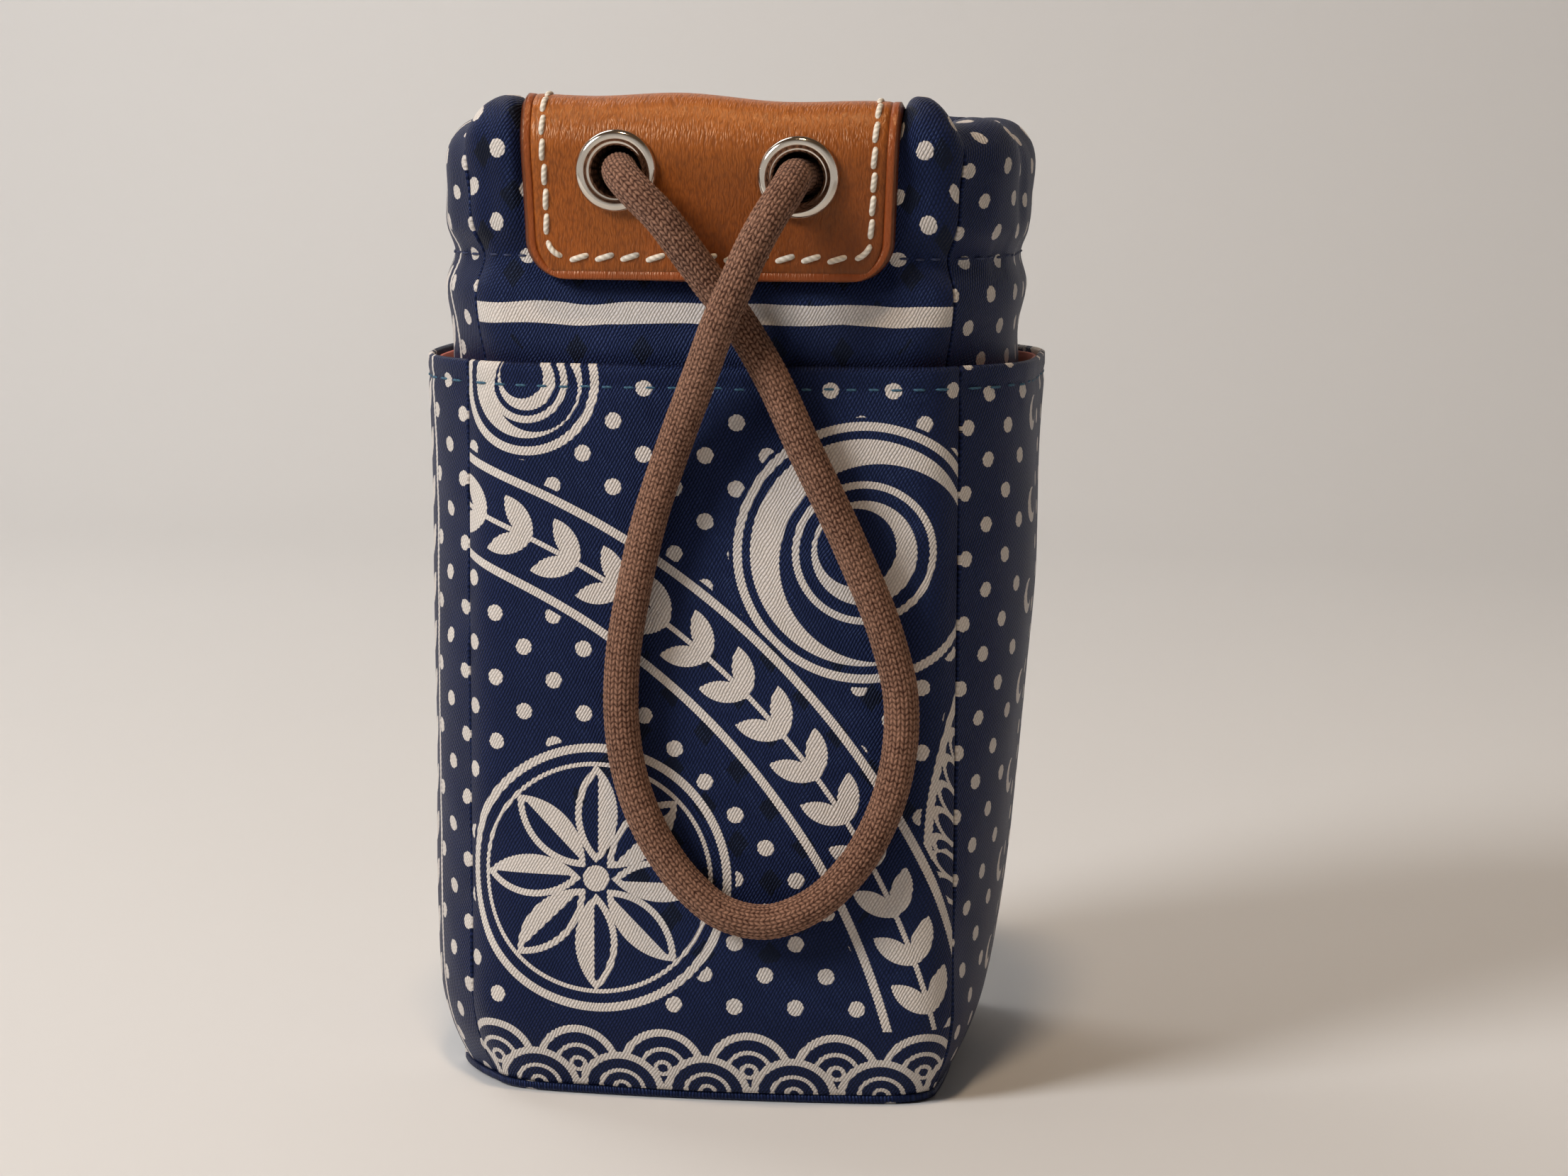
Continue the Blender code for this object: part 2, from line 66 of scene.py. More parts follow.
# Wall plan and heights, the same values as in the model's source
SEAM_X, SEAM_Y = 0.0315, 0.0250
BASE_X, BASE_Y = 0.0283, 0.0220
BASE_ROUND, BASE_ROUND_POWER = 0.014, 2.2
FRONT_BULGE, FRONT_BASE_BULGE, NECK_BULGE = 0.0055, 0.0045, 0.0030
SIDE_BULGE, CROWN_SHARE, FLAT_POWER, ROUND_POWER = 0.0084, 0.36, 14, 3.2
RIGHT_BASE_BULGE, LEFT_BASE_BULGE = 0.0008, 0.0072
RIGHT_FILL_HEIGHT, LEFT_FILL_HEIGHT, FILL_POWER = 0.076, 0.030, 1.7
NECK_DRAW, RIGHT_TAPER, LEFT_TAPER, TAPER_POWER = 0.0006, 0.0020, 0.0054, 1.4
BASE_THICKNESS, POCKET_TOP, LINING_HEM = 0.0012, 0.0950, 0.0006
NECK_START, NECK_END, CASING_SEAM = 0.0960, 0.1040, 0.1085
FRONT_CREST, CORNER_CREST, SIDE_CREST, BACK_CREST = 0.1266, 0.1286, 0.1250, 0.1262
CLOTH, LINING, LEATHER = 0.0008, 0.0005, 0.0015
LAYER_GAP, BODY_ROOM, SEAM_GAP = 0.0003, 0.0003, 0.0002
NECK_RECESS, CASING_ROOM, CORNER_ROOM, PINCH = 0.0008, 0.0072, 0.0045, 0.0008
SEAM_TUCK, CREST_TUCK, INNER_TUCK, INNER_SHOULDER = 0.0003, 0.0014, 0.0015, 0.0005
GATHER_DEPTH, EDGE_RISE = 0.0010, 0.0011
SIDE_FOLDS, BACK_FOLDS = 3, 3
TAB_WIDTH, TAB_END_WIDTH, TAB_BOTTOM = 0.0470, 0.0452, 0.1057
TAB_CORNER, TAB_SIDE_GAP, TAB_TILT = 0.0050, 0.0005, 0.030
TAB_ROUND_STOPS = (0.0, 0.076, 0.29, 0.62)
EYELET_X, EYELET_RISE = 0.0114, 0.0104
EYELET_OUTER, EYELET_HOLE, EYELET_WALL = 0.0051, 0.0031, 0.0004
EYELET_HEIGHT, EYELET_SEAT = 0.0009, 0.0005
WASHER_OUTER, WASHER = 0.0050, 0.0004
PUNCHED, PUNCH_BACK = 0.00375, -0.0235
CORD = 0.0044
SIDES = ("front", "right", "back", "left")
WALL_LEVELS = (0.0040, 0.0080, 0.0140, 0.0380, 0.0640)

# Millimetres: the print's plain stripe, where its dots go on above it, a cell without end one way,
# and the middle of the crease in from the leather's edge
STRIPE_HEIGHT, STRIPE_WIDTH, DOTS_FROM, ENDLESS, CREASE_IN = 100.6, 2.7, 105.5, 4000.0, 1.02
LEAF_SLANT = math.radians(36)

BODY_INSET = CLOTH + LAYER_GAP + LINING + BODY_ROOM + CLOTH / 2
BODY_LINING_INSET = BODY_INSET + CLOTH / 2 + LAYER_GAP + LINING / 2
NECK_INSET = BODY_INSET - NECK_RECESS
FULL_INSET = NECK_INSET - NECK_RECESS
INNER_INSET = FULL_INSET + CLOTH + CASING_ROOM
CORNER_INSET = FULL_INSET + CLOTH + CORNER_ROOM
WALL_FLOOR = BASE_THICKNESS + LAYER_GAP

# Route of the cord's free loop, the same points as in the source
LOOP_ROUTE = [
    (-0.01135, -0.0275, 0.1193),
    (-0.0110, -0.0296, 0.1193),
    (-0.0103, -0.0320, 0.1187),
    (-0.0083, -0.0343, 0.1169),
    (-0.0050, -0.0353, 0.1138),
    (-0.0019, -0.0349, 0.1097),
    (0.0009, -0.0340, 0.1058),
    (0.0037, -0.0332, 0.1020),
    (0.0082, -0.0332, 0.0948),
    (0.0127, -0.0331, 0.0854),
    (0.0186, -0.0327, 0.0730),
    (0.0231, -0.0323, 0.0620),
    (0.0249, -0.0320, 0.0545),
    (0.0248, -0.0320, 0.0472),
    (0.0229, -0.0323, 0.0394),
    (0.0186, -0.0328, 0.0318),
    (0.0137, -0.0330, 0.0273),
    (0.0082, -0.0332, 0.0253),
    (0.0028, -0.0333, 0.0263),
    (-0.0017, -0.0333, 0.0298),
    (-0.0052, -0.0332, 0.0343),
    (-0.0086, -0.0331, 0.0416),
    (-0.0102, -0.0330, 0.0500),
    (-0.0101, -0.0331, 0.0581),
    (-0.0087, -0.0332, 0.0670),
    (-0.0064, -0.0333, 0.0769),
    (-0.0033, -0.0341, 0.0859),
    (0.0005, -0.0364, 0.0954),
    (0.0027, -0.0381, 0.1009),
    (0.0050, -0.0384, 0.1060),
    (0.0069, -0.0378, 0.1104),
    (0.0088, -0.0364, 0.1141),
    (0.0104, -0.0341, 0.1169),
    (0.0109, -0.0318, 0.1182),
    (0.0110, -0.0297, 0.1187),
    (0.01135, -0.0275, 0.1187),
]

# Braid of the cord: columns round it, and the length, slant and height of a pick
BRAID_COLUMNS, BRAID_PICK, BRAID_SLANT, BRAID_RELIEF = 26, 0.00072, 0.60, 0.00012
# How fast a pick falls away across and along it
PICK_ACROSS, PICK_ALONG = 3.6, 3.4

# Depths of the sleeve's hem and of the crease pressed inside the leather's edge
HEM_DEPTH, CREASE_DEPTH = 0.0026, 0.00024

# Camera at the photograph's angle: degrees, and metres from the target
YAW, PITCH, ROLL = 7.0, 7.87, 0.31
TARGET = Vector((0.00623, 0.0, 0.06329))
DISTANCE = 0.450
LENS, SENSOR = 76.8, 36.0


# Wall formulas, for whole arrays at once


def ease(low, high, value):
    share = np.clip((value - low) / (high - low), 0.0, 1.0)
    return share * share * (3 - 2 * share)


def base_share(z):
    return np.maximum(0.0, 1.0 - z / BASE_ROUND) ** BASE_ROUND_POWER


def lean(z):
    step = 0.0001
    slope = (SEAM_X - BASE_X) * (base_share(z) - base_share(z + step)) / step
    return np.hypot(1.0, slope)


def front_out(t, z):
    low = FRONT_BASE_BULGE + (FRONT_BULGE - FRONT_BASE_BULGE) * (1 - base_share(z))
    out = low + (NECK_BULGE - low) * ease(NECK_START, NECK_END, z)
    return out * (CROWN_SHARE * (1 - t * t) + (1 - CROWN_SHARE) * (1 - abs(t) ** FLAT_POWER))


def side_out(side, t, z):
    if side == "right":
        base_bulge, fill_height, taper = RIGHT_BASE_BULGE, RIGHT_FILL_HEIGHT, RIGHT_TAPER
    else:
        base_bulge, fill_height, taper = LEFT_BASE_BULGE, LEFT_FILL_HEIGHT, LEFT_TAPER
    empty = np.maximum(0.0, 1.0 - z / fill_height) ** FILL_POWER
    above_neck = np.maximum(0.0, (z - NECK_END) / (FRONT_CREST - NECK_END))
    out = SIDE_BULGE + (base_bulge - SIDE_BULGE) * empty
    out = out - NECK_DRAW * ease(NECK_START, NECK_END, z) - taper * above_neck**TAPER_POWER
    return out * (1 - abs(t) ** ROUND_POWER)


TAB_EDGE = (TAB_WIDTH / 2 + TAB_SIDE_GAP) / SEAM_X


def fold_shape(side, t):
    """0 in the valleys and at the seams, 1 on the ridges of the gathers."""
    if side == "front":
        share = np.maximum(0.0, abs(t) - TAB_EDGE) / (1 - TAB_EDGE)
        return 1 - abs(2 * share - 1) ** 3
    count = BACK_FOLDS if side == "back" else SIDE_FOLDS
    return np.sin(math.pi * count * (t + 1) / 2) ** 2


def gather(side, t, inset, z):
    outside = 1 - ease(FULL_INSET, (FULL_INSET + INNER_INSET) / 2, inset)
    return GATHER_DEPTH * fold_shape(side, t) * ease(CASING_SEAM, FRONT_CREST, z) * outside


def crest(side, t):
    if side == "front":
        behind_tab = FRONT_CREST - TAB_TILT * t * SEAM_X
        return behind_tab + (CORNER_CREST - behind_tab) * fold_shape(side, t)
    base_height = BACK_CREST if side == "back" else SIDE_CREST
    return base_height + EDGE_RISE * fold_shape(side, t)


def front_x(t, half_x, z):
    flat = t * half_x
    past = (abs(t) - TAB_EDGE) / (1 - TAB_EDGE)
    outer = np.sign(t) * (TAB_EDGE * SEAM_X + past * (half_x - TAB_EDGE * SEAM_X))
    kept = np.where(abs(t) > TAB_EDGE, outer, t * SEAM_X)
    return flat + (kept - flat) * ease(NECK_START, NECK_END, z)


def wall(side, t, inset, z, extra=0.0):
    """Points of a wall, t from -1 to 1 left to right seen from outside; extra stands further out."""
    t, inset, z, extra = np.broadcast_arrays(t, inset, z, extra)
    grown = 1 - base_share(z)
    half_x = BASE_X + (SEAM_X - BASE_X) * grown - inset * lean(z)
    half_y = BASE_Y + (SEAM_Y - BASE_Y) * grown - inset * lean(z)
    extra = gather(side, t, inset, z) + extra
    way = 1 if side in ("right", "back") else -1
    if side in ("front", "back"):
        x = front_x(t, half_x, z) if side == "front" else -t * half_x
        return np.stack([x, way * (half_y + front_out(t, z) + extra), z], axis=-1)
    return np.stack([way * (half_x + side_out(side, t, z) + extra), way * t * half_y, z], axis=-1)


def seam_half(side):
    return SEAM_X if side in ("front", "back") else SEAM_Y


def places(side, count, power=1.35):
    """count places across a wall, closer together near the seams."""
    even = np.linspace(-1, 1, count)
    end = 1 - SEAM_GAP / seam_half(side)
    return end * np.sign(even) * (1 - (1 - abs(even)) ** power)


# Small forms of the cloth


def cloth_noise(seed, x, y=0.0):
    """Smooth noise from -1 to 1 whose bumps are about one unit wide, the same on each run."""
    size = 64
    lattice = np.random.default_rng(seed).uniform(-1, 1, (size, size))
    x, y = np.broadcast_arrays(np.asarray(x, float) + 7.3, np.asarray(y, float) + 3.1)
    col, row = np.floor(x).astype(int), np.floor(y).astype(int)
    across, up = ease(0, 1, x - col), ease(0, 1, y - row)
    corners = [[lattice[(col + i) % size, (row + j) % size] for i in (0, 1)] for j in (0, 1)]
    low, high = (here * (1 - across) + beside * across for here, beside in corners)
    return low * (1 - up) + high * up


def near(distance, reach):
    """1 at no distance, falling away smoothly over about the reach."""
    return np.exp(-((distance / reach) ** 2))


def sleeve_relief(side, t, z):
    """Undulation of the sleeve, its puckers along the seams and its hem's ripple."""
    seed = SIDES.index(side) * 10
    half = seam_half(side)
    along, to_seam = t * half, (1 - abs(t)) * half
    inner = 1 - near(to_seam, 0.006)
    slow = 0.00040 * cloth_noise(seed, along / 0.017, z / 0.024)
    slow += 0.00014 * cloth_noise(seed + 1, along / 0.007, z / 0.011)
    pucker = 0.00028 * cloth_noise(seed + 2, z / 0.0042, np.sign(t) * 2) * near(to_seam - 0.0024, 0.0032)
    hem = 0.00012 * cloth_noise(seed + 3, along / 0.0026) * near(z - POCKET_TOP + 0.0030, 0.0024)
    lip = 0.00045 * cloth_noise(seed + 4, along / 0.016) * near(z - POCKET_TOP, 0.009)
    fold = -0.00022 * near(z - POCKET_TOP + HEM_DEPTH, 0.0006)
    flare = 0.00055 * near(z - POCKET_TOP, 0.007) if side in ("left", "right") else 0.0
    return slow * inner + pucker + (hem + lip + flare) * inner + fold


def neck_pull(side, t, z):
    """Draws the body in at the neck, more at the sides, so that the sleeve's rim stands clear of it."""
    pull = 0.0013 if side in ("left", "right") else 0.0004
    return -pull * near(z - 0.0985, 0.0052) * (1 - abs(t) ** 6)


def casing_relief(side, t, inset, z):
    """Fine gathers that fan out from the casing seam, above and below it."""
    seed = 100 + SIDES.index(side) * 10
    half = seam_half(side)
    along, to_seam = t * half, (1 - abs(t)) * half
    outside = 1 - ease(FULL_INSET + 0.0005, FULL_INSET + 0.0050, inset)
    inner = 1 - near(to_seam, 0.0025)
    above = np.maximum(z - CASING_SEAM, 0.0)
    pleats = cloth_noise(seed, along / 0.0036 + 0.8 * cloth_noise(seed + 1, z / 0.02), z / 0.03)
    puckers = cloth_noise(seed + 2, along / 0.0021)
    soft = cloth_noise(seed + 3, along / 0.0085, z / 0.0085)
    bare = 1.0
    if side == "front":
        bare = ease(TAB_EDGE - 0.02, TAB_EDGE + 0.03, abs(t))
    relief = 0.00052 * pleats * ease(0.0, 0.006, above) * bare
    relief += 0.00016 * puckers * near(z - CASING_SEAM, 0.0030) * (0.35 + 0.65 * bare)
    relief += 0.00040 * soft * ease(0.0, 0.010, above) * bare
    relief += 0.00024 * cloth_noise(seed + 4, along / 0.009, z / 0.007) * near(z - 0.100, 0.007)
    return relief * outside * inner + neck_pull(side, t, z)


# Meshes


def smooth_sections(points, counts):
    """Rows along smooth curves through control rows; counts says how many rows each span gives."""
    ends = [2 * points[0] - points[1], *points, 2 * points[-1] - points[-2]]
    rows = []
    for a, b, c, d, count in zip(ends, ends[1:], ends[2:], ends[3:], counts):
        # Tangents follow the spacing of the points, so that a short span beside a long one can't loop
        before, here, after = (
            np.maximum(np.linalg.norm(q - p, axis=0), 1e-7) for p, q in ((a, b), (b, c), (c, d))
        )
        start = here * ((b - a) / before * here + (c - b) / here * before) / (before + here)
        end = here * ((c - b) / here * after + (d - c) / after * here) / (here + after)
        for i in range(count):
            s = i / count
            rows.append(
                (2 * s**3 - 3 * s**2 + 1) * b
                + (s**3 - 2 * s**2 + s) * start
                + (3 * s**2 - 2 * s**3) * c
                + (s**3 - s**2) * end
            )
    rows.append(points[-1])
    return np.stack(rows)


def steps(rows, axis):
    """Length from the first point on along one axis of a grid of points."""
    gaps = np.linalg.norm(np.diff(rows, axis=axis), axis=-1)
    start = np.zeros_like(np.take(gaps, [0], axis=axis))
    return np.concatenate([start, np.cumsum(gaps, axis=axis)], axis=axis)


def mesh_object(name, points, faces, material, smooth=True):
    mesh = bpy.data.meshes.new(name)
    mesh.from_pydata(points.reshape(-1, 3).tolist(), [], faces)
    mesh.validate()
    mesh.materials.append(material)
    if smooth:
        mesh.shade_smooth()
    obj = bpy.data.objects.new(name, mesh)
    bpy.context.scene.collection.objects.link(obj)
    return obj


def add_attribute(obj, name, values, domain="POINT"):
    layer = obj.data.attributes.new(name, "FLOAT_VECTOR", domain)
    layer.data.foreach_set("vector", np.ascontiguousarray(values, dtype=np.float32).ravel())


def grid_faces(rows, cols, first=0, wrap=False):
    faces = []
    for i in range(rows - 1):
        low, high = first + i * cols, first + (i + 1) * cols
        for j in range(cols if wrap else cols - 1):
            k = (j + 1) % cols
            faces.append((low + j, low + k, high + k, high + j))
    return faces


def grid_normals(mid):
    normal = np.cross(np.gradient(mid, axis=1), np.gradient(mid, axis=0))
    return normal / np.maximum(np.linalg.norm(normal, axis=-1, keepdims=True), 1e-12)


def eyelet_z(x):
    return CASING_SEAM + EYELET_RISE - TAB_TILT * x


def uncut(mid):
    """Which faces of a grid stay when the eyelets' holes are punched through its front."""
    middle = (mid[:-1, :-1] + mid[1:, 1:]) / 2
    kept = np.ones(middle.shape[:2], bool)
    for x in (-EYELET_X, EYELET_X):
        off = np.hypot(middle[..., 0] - x, middle[..., 2] - eyelet_z(x))
        kept &= (off > PUNCHED) | (middle[..., 1] > PUNCH_BACK)
    return kept


def hole_walls(kept, cols, count):
    """Walls between the two sheets of a shell round the faces that were punched out."""
    faces = []
    for i, j in np.argwhere(kept):
        ring = [(i, j), (i, j + 1), (i + 1, j + 1), (i + 1, j)]
        for k, (di, dj) in enumerate(((-1, 0), (0, 1), (1, 0), (0, -1))):
            beside = (i + di, j + dj)
            if min(beside) < 0 or beside[0] >= kept.shape[0] or beside[1] >= kept.shape[1] or kept[beside]:
                continue
            a, b = (int(p[0] * cols + p[1]) for p in (ring[k], ring[(k + 1) % 4]))
            faces.append((b, a, count + a, count + b))
    return faces


def shell(name, mid, thickness, material, cloth, bulge=0.32, kept=None):
    """A closed shell about a grid of points, with its cut edges rounded over."""
    rows, cols = mid.shape[:2]
    normal = grid_normals(mid)
    outer, inner = mid + normal * thickness / 2, mid - normal * thickness / 2
    count = rows * cols
    ring = (
        [(0, j) for j in range(cols)]
        + [(i, cols - 1) for i in range(1, rows)]
        + [(rows - 1, j) for j in range(cols - 2, -1, -1)]
        + [(i, 0) for i in range(rows - 2, 0, -1)]
    )
    edge = []
    for i, j in ring:
        inward = mid[min(max(i, 1), rows - 2), min(max(j, 1), cols - 2)] - mid[i, j]
        edge.append(mid[i, j] - inward / max(np.linalg.norm(inward), 1e-9) * thickness * bulge)
    faces = grid_faces(rows, cols)
    if kept is not None:
        faces = [face for face, stays in zip(faces, kept.ravel()) if stays]
    faces += [tuple(count + k for k in reversed(face)) for face in faces]
    if kept is not None:
        faces += hole_walls(kept, cols, count)
    at = [i * cols + j for i, j in ring]
    for a in range(len(ring)):
        b = (a + 1) % len(ring)
        faces.append((at[b], at[a], 2 * count + a, 2 * count + b))
        faces.append((2 * count + b, 2 * count + a, count + at[a], count + at[b]))
    points = np.concatenate([outer.reshape(-1, 3), inner.reshape(-1, 3), np.array(edge)])
    obj = mesh_object(name, points, faces, material)
    flat = cloth.reshape(-1, 3)
    add_attribute(obj, "cloth", np.concatenate([flat, flat, flat[at]]))
    return obj


def cloth_places(mid, origin_row=0):
    """Millimetres across from the middle and up along a grid, and to its nearest side edge."""
    across = steps(mid, 1)
    width = across[:, -1:]
    up = steps(mid, 0)
    up = up - up[origin_row : origin_row + 1]
    middle = mid.shape[1] // 2
    up = np.broadcast_to(up[:, middle : middle + 1], up.shape)
    side = np.minimum(across, width - across)
    return np.stack([across - width / 2, up, side], axis=-1) / MM


def dress(piece, node):
    """Rides a piece on the one body, and stands it for its node if it has one."""
    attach(piece, "root")
    if node:
        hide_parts(node)
    return piece


def tube(name, centre, radius, sides, material, relief=None):
    """A tube along points, closed with domed ends; relief(angle, length) raises its surface."""
    centre = np.asarray(centre, float)
    tangent = np.gradient(centre, axis=0)
    tangent /= np.linalg.norm(tangent, axis=1, keepdims=True)
    normal = np.zeros_like(centre)
    start = np.cross(tangent[0], (0.0, 0.3, 1.0))
    normal[0] = start / np.linalg.norm(start)
    for i in range(1, len(centre)):
        moved = normal[i - 1] - tangent[i] * (normal[i - 1] @ tangent[i])
        normal[i] = moved / np.linalg.norm(moved)
    across = np.cross(tangent, normal)
    length = steps(centre[None], 1)[0]
    angle = np.linspace(0, 2 * math.pi, sides + 1)
    lift = np.zeros((len(centre), sides)) if relief is None else relief(angle[None, :-1], length[:, None])
    turn = angle[None, :-1, None]
    around = np.cos(turn) * normal[:, None] + np.sin(turn) * across[:, None]
    points = centre[:, None] + around * (radius + lift)[..., None]
    caps = np.stack([centre[0] - tangent[0] * radius * 0.4, centre[-1] + tangent[-1] * radius * 0.4])
    faces = grid_faces(len(centre), sides, wrap=True)
    first, last = len(centre) * sides, len(centre) * sides + 1
    base = (len(centre) - 1) * sides
    for j in range(sides):
        k = (j + 1) % sides
        faces += [(k, j, first), (base + j, base + k, last)]
    obj = mesh_object(name, np.concatenate([points.reshape(-1, 3), caps]), faces, material)
    # Columns round the tube and millimetres along it, at each face's corners, so that no seam shows
    marks = np.zeros((len(centre) - 1, sides, 4, 3))
    columns = angle / (2 * math.pi) * BRAID_COLUMNS
    marks[..., 0] = np.stack([columns[:-1], columns[1:], columns[1:], columns[:-1]], axis=-1)
    marks[..., 1] = np.stack([length[:-1], length[:-1], length[1:], length[1:]], axis=-1)[:, None] / MM
    add_attribute(obj, "cloth", np.concatenate([marks.reshape(-1, 3), np.zeros((6 * sides, 3))]), "CORNER")
    return obj


def spline(points, step):
    """Even points on a smooth curve through a route."""
    route = smooth_sections([np.array(p)[:, None] for p in points], [12] * (len(points) - 1))[..., 0]
    length = steps(route[None], 1)[0]
    even = np.linspace(0, length[-1], max(2, round(length[-1] / step)) + 1)
    return np.stack([np.interp(even, length, route[:, k]) for k in range(3)], axis=1)


# Sections of the walls, as rows of (inset, height) for each place across


def inner_inset(t):
    """Inset of the casing's inner side, which comes nearer the wall at the corners."""
    return INNER_INSET + (CORNER_INSET - INNER_INSET) * abs(t) ** 4


def casing_section(side, t):
    rise = crest(side, t) - CASING_SEAM
    inner = inner_inset(t)
    full = np.full_like(t, FULL_INSET)
    shares = [
        (full + SEAM_TUCK, 0.20),
        (full, 0.45),
        (full, 0.85),
        (full + CREST_TUCK, 0.95),
        ((FULL_INSET + inner) / 2, (rise - CLOTH / 2) / rise),
        (inner - INNER_TUCK, 0.93),
        (inner - INNER_SHOULDER, 0.80),
        (inner, 0.50),
        (inner - INNER_TUCK, 0.20),
        (np.full_like(t, BODY_LINING_INSET + LAYER_GAP), 0.02),
    ]
    return [np.stack([inset, CASING_SEAM + rise * share]) for inset, share in shares]


def body_section(side, t):
    stops = [(BODY_INSET, z) for z in (WALL_FLOOR, *WALL_LEVELS, POCKET_TOP + LAYER_GAP)]
    stops += [
        (NECK_INSET + 0.0001, (POCKET_TOP + NECK_END) / 2),
        (NECK_INSET - 0.0002, NECK_END),
        (NECK_INSET + PINCH, CASING_SEAM),
    ]
    rows = [np.stack([np.full_like(t, inset), np.full_like(t, z)]) for inset, z in stops]
    return rows + casing_section(side, t)


# How many rows each span of the body's section gives, from the foot over the mouth to the seam inside
BODY_ROWS = [3] * 6 + [5, 9, 9, 8] + [10, 9, 12, 8, 8, 7, 6, 8, 8]
# The sleeve's rows are closer together below this height, where its foot rounds in
FOOT_TOP = 0.018


def sleeve_grid(side, count, foot_rows, rows, inset, top):
    foot = np.linspace(WALL_FLOOR, FOOT_TOP, foot_rows)[:-1]
    t, z = np.meshgrid(places(side, count), np.concatenate([foot, np.linspace(FOOT_TOP, top, rows)]))
    return wall(side, t, inset, z, sleeve_relief(side, t, z))


def body_grid(side):
    t = places(side, 116)
    rows = smooth_sections(body_section(side, t), BODY_ROWS)
    inset, z = rows[:, 0], rows[:, 1]
    return wall(side, t, inset, z, casing_relief(side, t, inset, z))


def body_lining_grid(side):
    t, z = np.meshgrid(places(side, 48), np.linspace(WALL_FLOOR, CASING_SEAM - LAYER_GAP, 60))
    return wall(side, t, BODY_LINING_INSET, z, neck_pull(side, t, z))


def add_layer(side, name, mid, material, kept=None):
    """One layer of a wall, a panel of printed twill or a lining, built about its grid of points."""
    lining = name.endswith("lining")
    thickness = LINING if lining else CLOTH
    piece = shell(f"{side}_{name}_cloth", mid, thickness, material, cloth_places(mid), kept=kept)
    if lining:
        return dress(piece, f"{side}_{name}")
    return dress(piece, f"{side}_{name}_panel")


def add_wall(side, sleeve_cloth, body_cloth, lining):
    """The layers of one side, from the outside in."""
    sleeve = sleeve_grid(side, count=112, foot_rows=34, rows=104, inset=CLOTH / 2, top=POCKET_TOP)
    add_layer(side, "pocket", sleeve, sleeve_cloth)
    inset, top = CLOTH + LAYER_GAP + LINING / 2, POCKET_TOP - LINING_HEM
    inner = sleeve_grid(side, count=60, foot_rows=12, rows=44, inset=inset, top=top)
    add_layer(side, "pocket_lining", inner, lining)
    body = body_grid(side)
    add_layer(side, "body", body, body_cloth, uncut(body) if side == "front" else None)
    add_layer(side, "body_lining", body_lining_grid(side), lining)


def base_plate(name, node, inset, low, high, sag, material):
    """A cloth plate within the walls' plan, from rings out to its rounded edge and back."""
    plan = np.concatenate([wall(side, places(side, 40)[:-1], inset, WALL_FLOOR)[:, :2] for side in SIDES])
    inner = [0.05, 0.15, 0.28, 0.40, 0.52, 0.64, 0.76, 0.86, 0.93, 0.97]
    edge = (high - low) * 0.4 / BASE_X
    rows = [(share, low) for share in (*inner, 1 - edge)] + [(1.0, low + (high - low) * 0.4)]
    rows += [(share, high) for share in (1.0, 1 - edge, *reversed(inner))]
    rings = []
    for share, z in rows:
        ring = np.column_stack([plan * share, np.full(len(plan), z)])
        wave = 0.5 + 0.5 * cloth_noise(71, ring[:, 0] / 0.011, ring[:, 1] / 0.011)
        ring[:, 2] += sag * wave * (1 - share**8) * (1 if z == low else -1)
        rings.append(ring)
    points = np.concatenate([*rings, [(0.0, 0.0, low + sag / 2), (0.0, 0.0, high - sag / 2)]])
    count, last = len(plan), (len(rings) - 1) * len(plan)
    faces = grid_faces(len(rings), count, wrap=True)
    for j in range(count):
        k = (j + 1) % count
        faces += [(len(points) - 2, k, j), (last + j, last + k, len(points) - 1)]
    plate = mesh_object(name, points, faces, material)
    add_attribute(plate, "cloth", points / MM)
    return dress(plate, node)


# Leather tab


def tab_rows(t):
    """Control rows of the tab through the middle of the leather: (inset, height) at each place."""
    distance = CLOTH / 2 + LAYER_GAP + LEATHER / 2
    section = casing_section("front", t)
    over = []
    for i, row in enumerate(section):
        run, climb = section[min(i + 1, len(section) - 1)] - section[max(i - 1, 0)]
        length = np.hypot(run, climb)
        over.append(np.stack([row[0] - distance * climb / length, row[1] + distance * run / length]))
    front_inset, inner_inset = over[0][0], over[-1][0]
    rises = [TAB_CORNER * share for share in TAB_ROUND_STOPS]
    front = [np.stack([front_inset, np.full_like(t, TAB_BOTTOM + rise)]) for rise in rises]
    inside = [np.stack([inner_inset, np.full_like(t, TAB_BOTTOM + rise)]) for rise in reversed(rises[:-1])]
    return front + over + inside


def tab_half_width(from_end, total):
    taper = TAB_END_WIDTH + (TAB_WIDTH - TAB_END_WIDTH) * np.minimum(1.0, 2 * from_end / total * 1.2)
    short = np.maximum(0.0, TAB_CORNER - from_end)
    return taper / 2 - TAB_CORNER + np.sqrt(TAB_CORNER**2 - short**2)


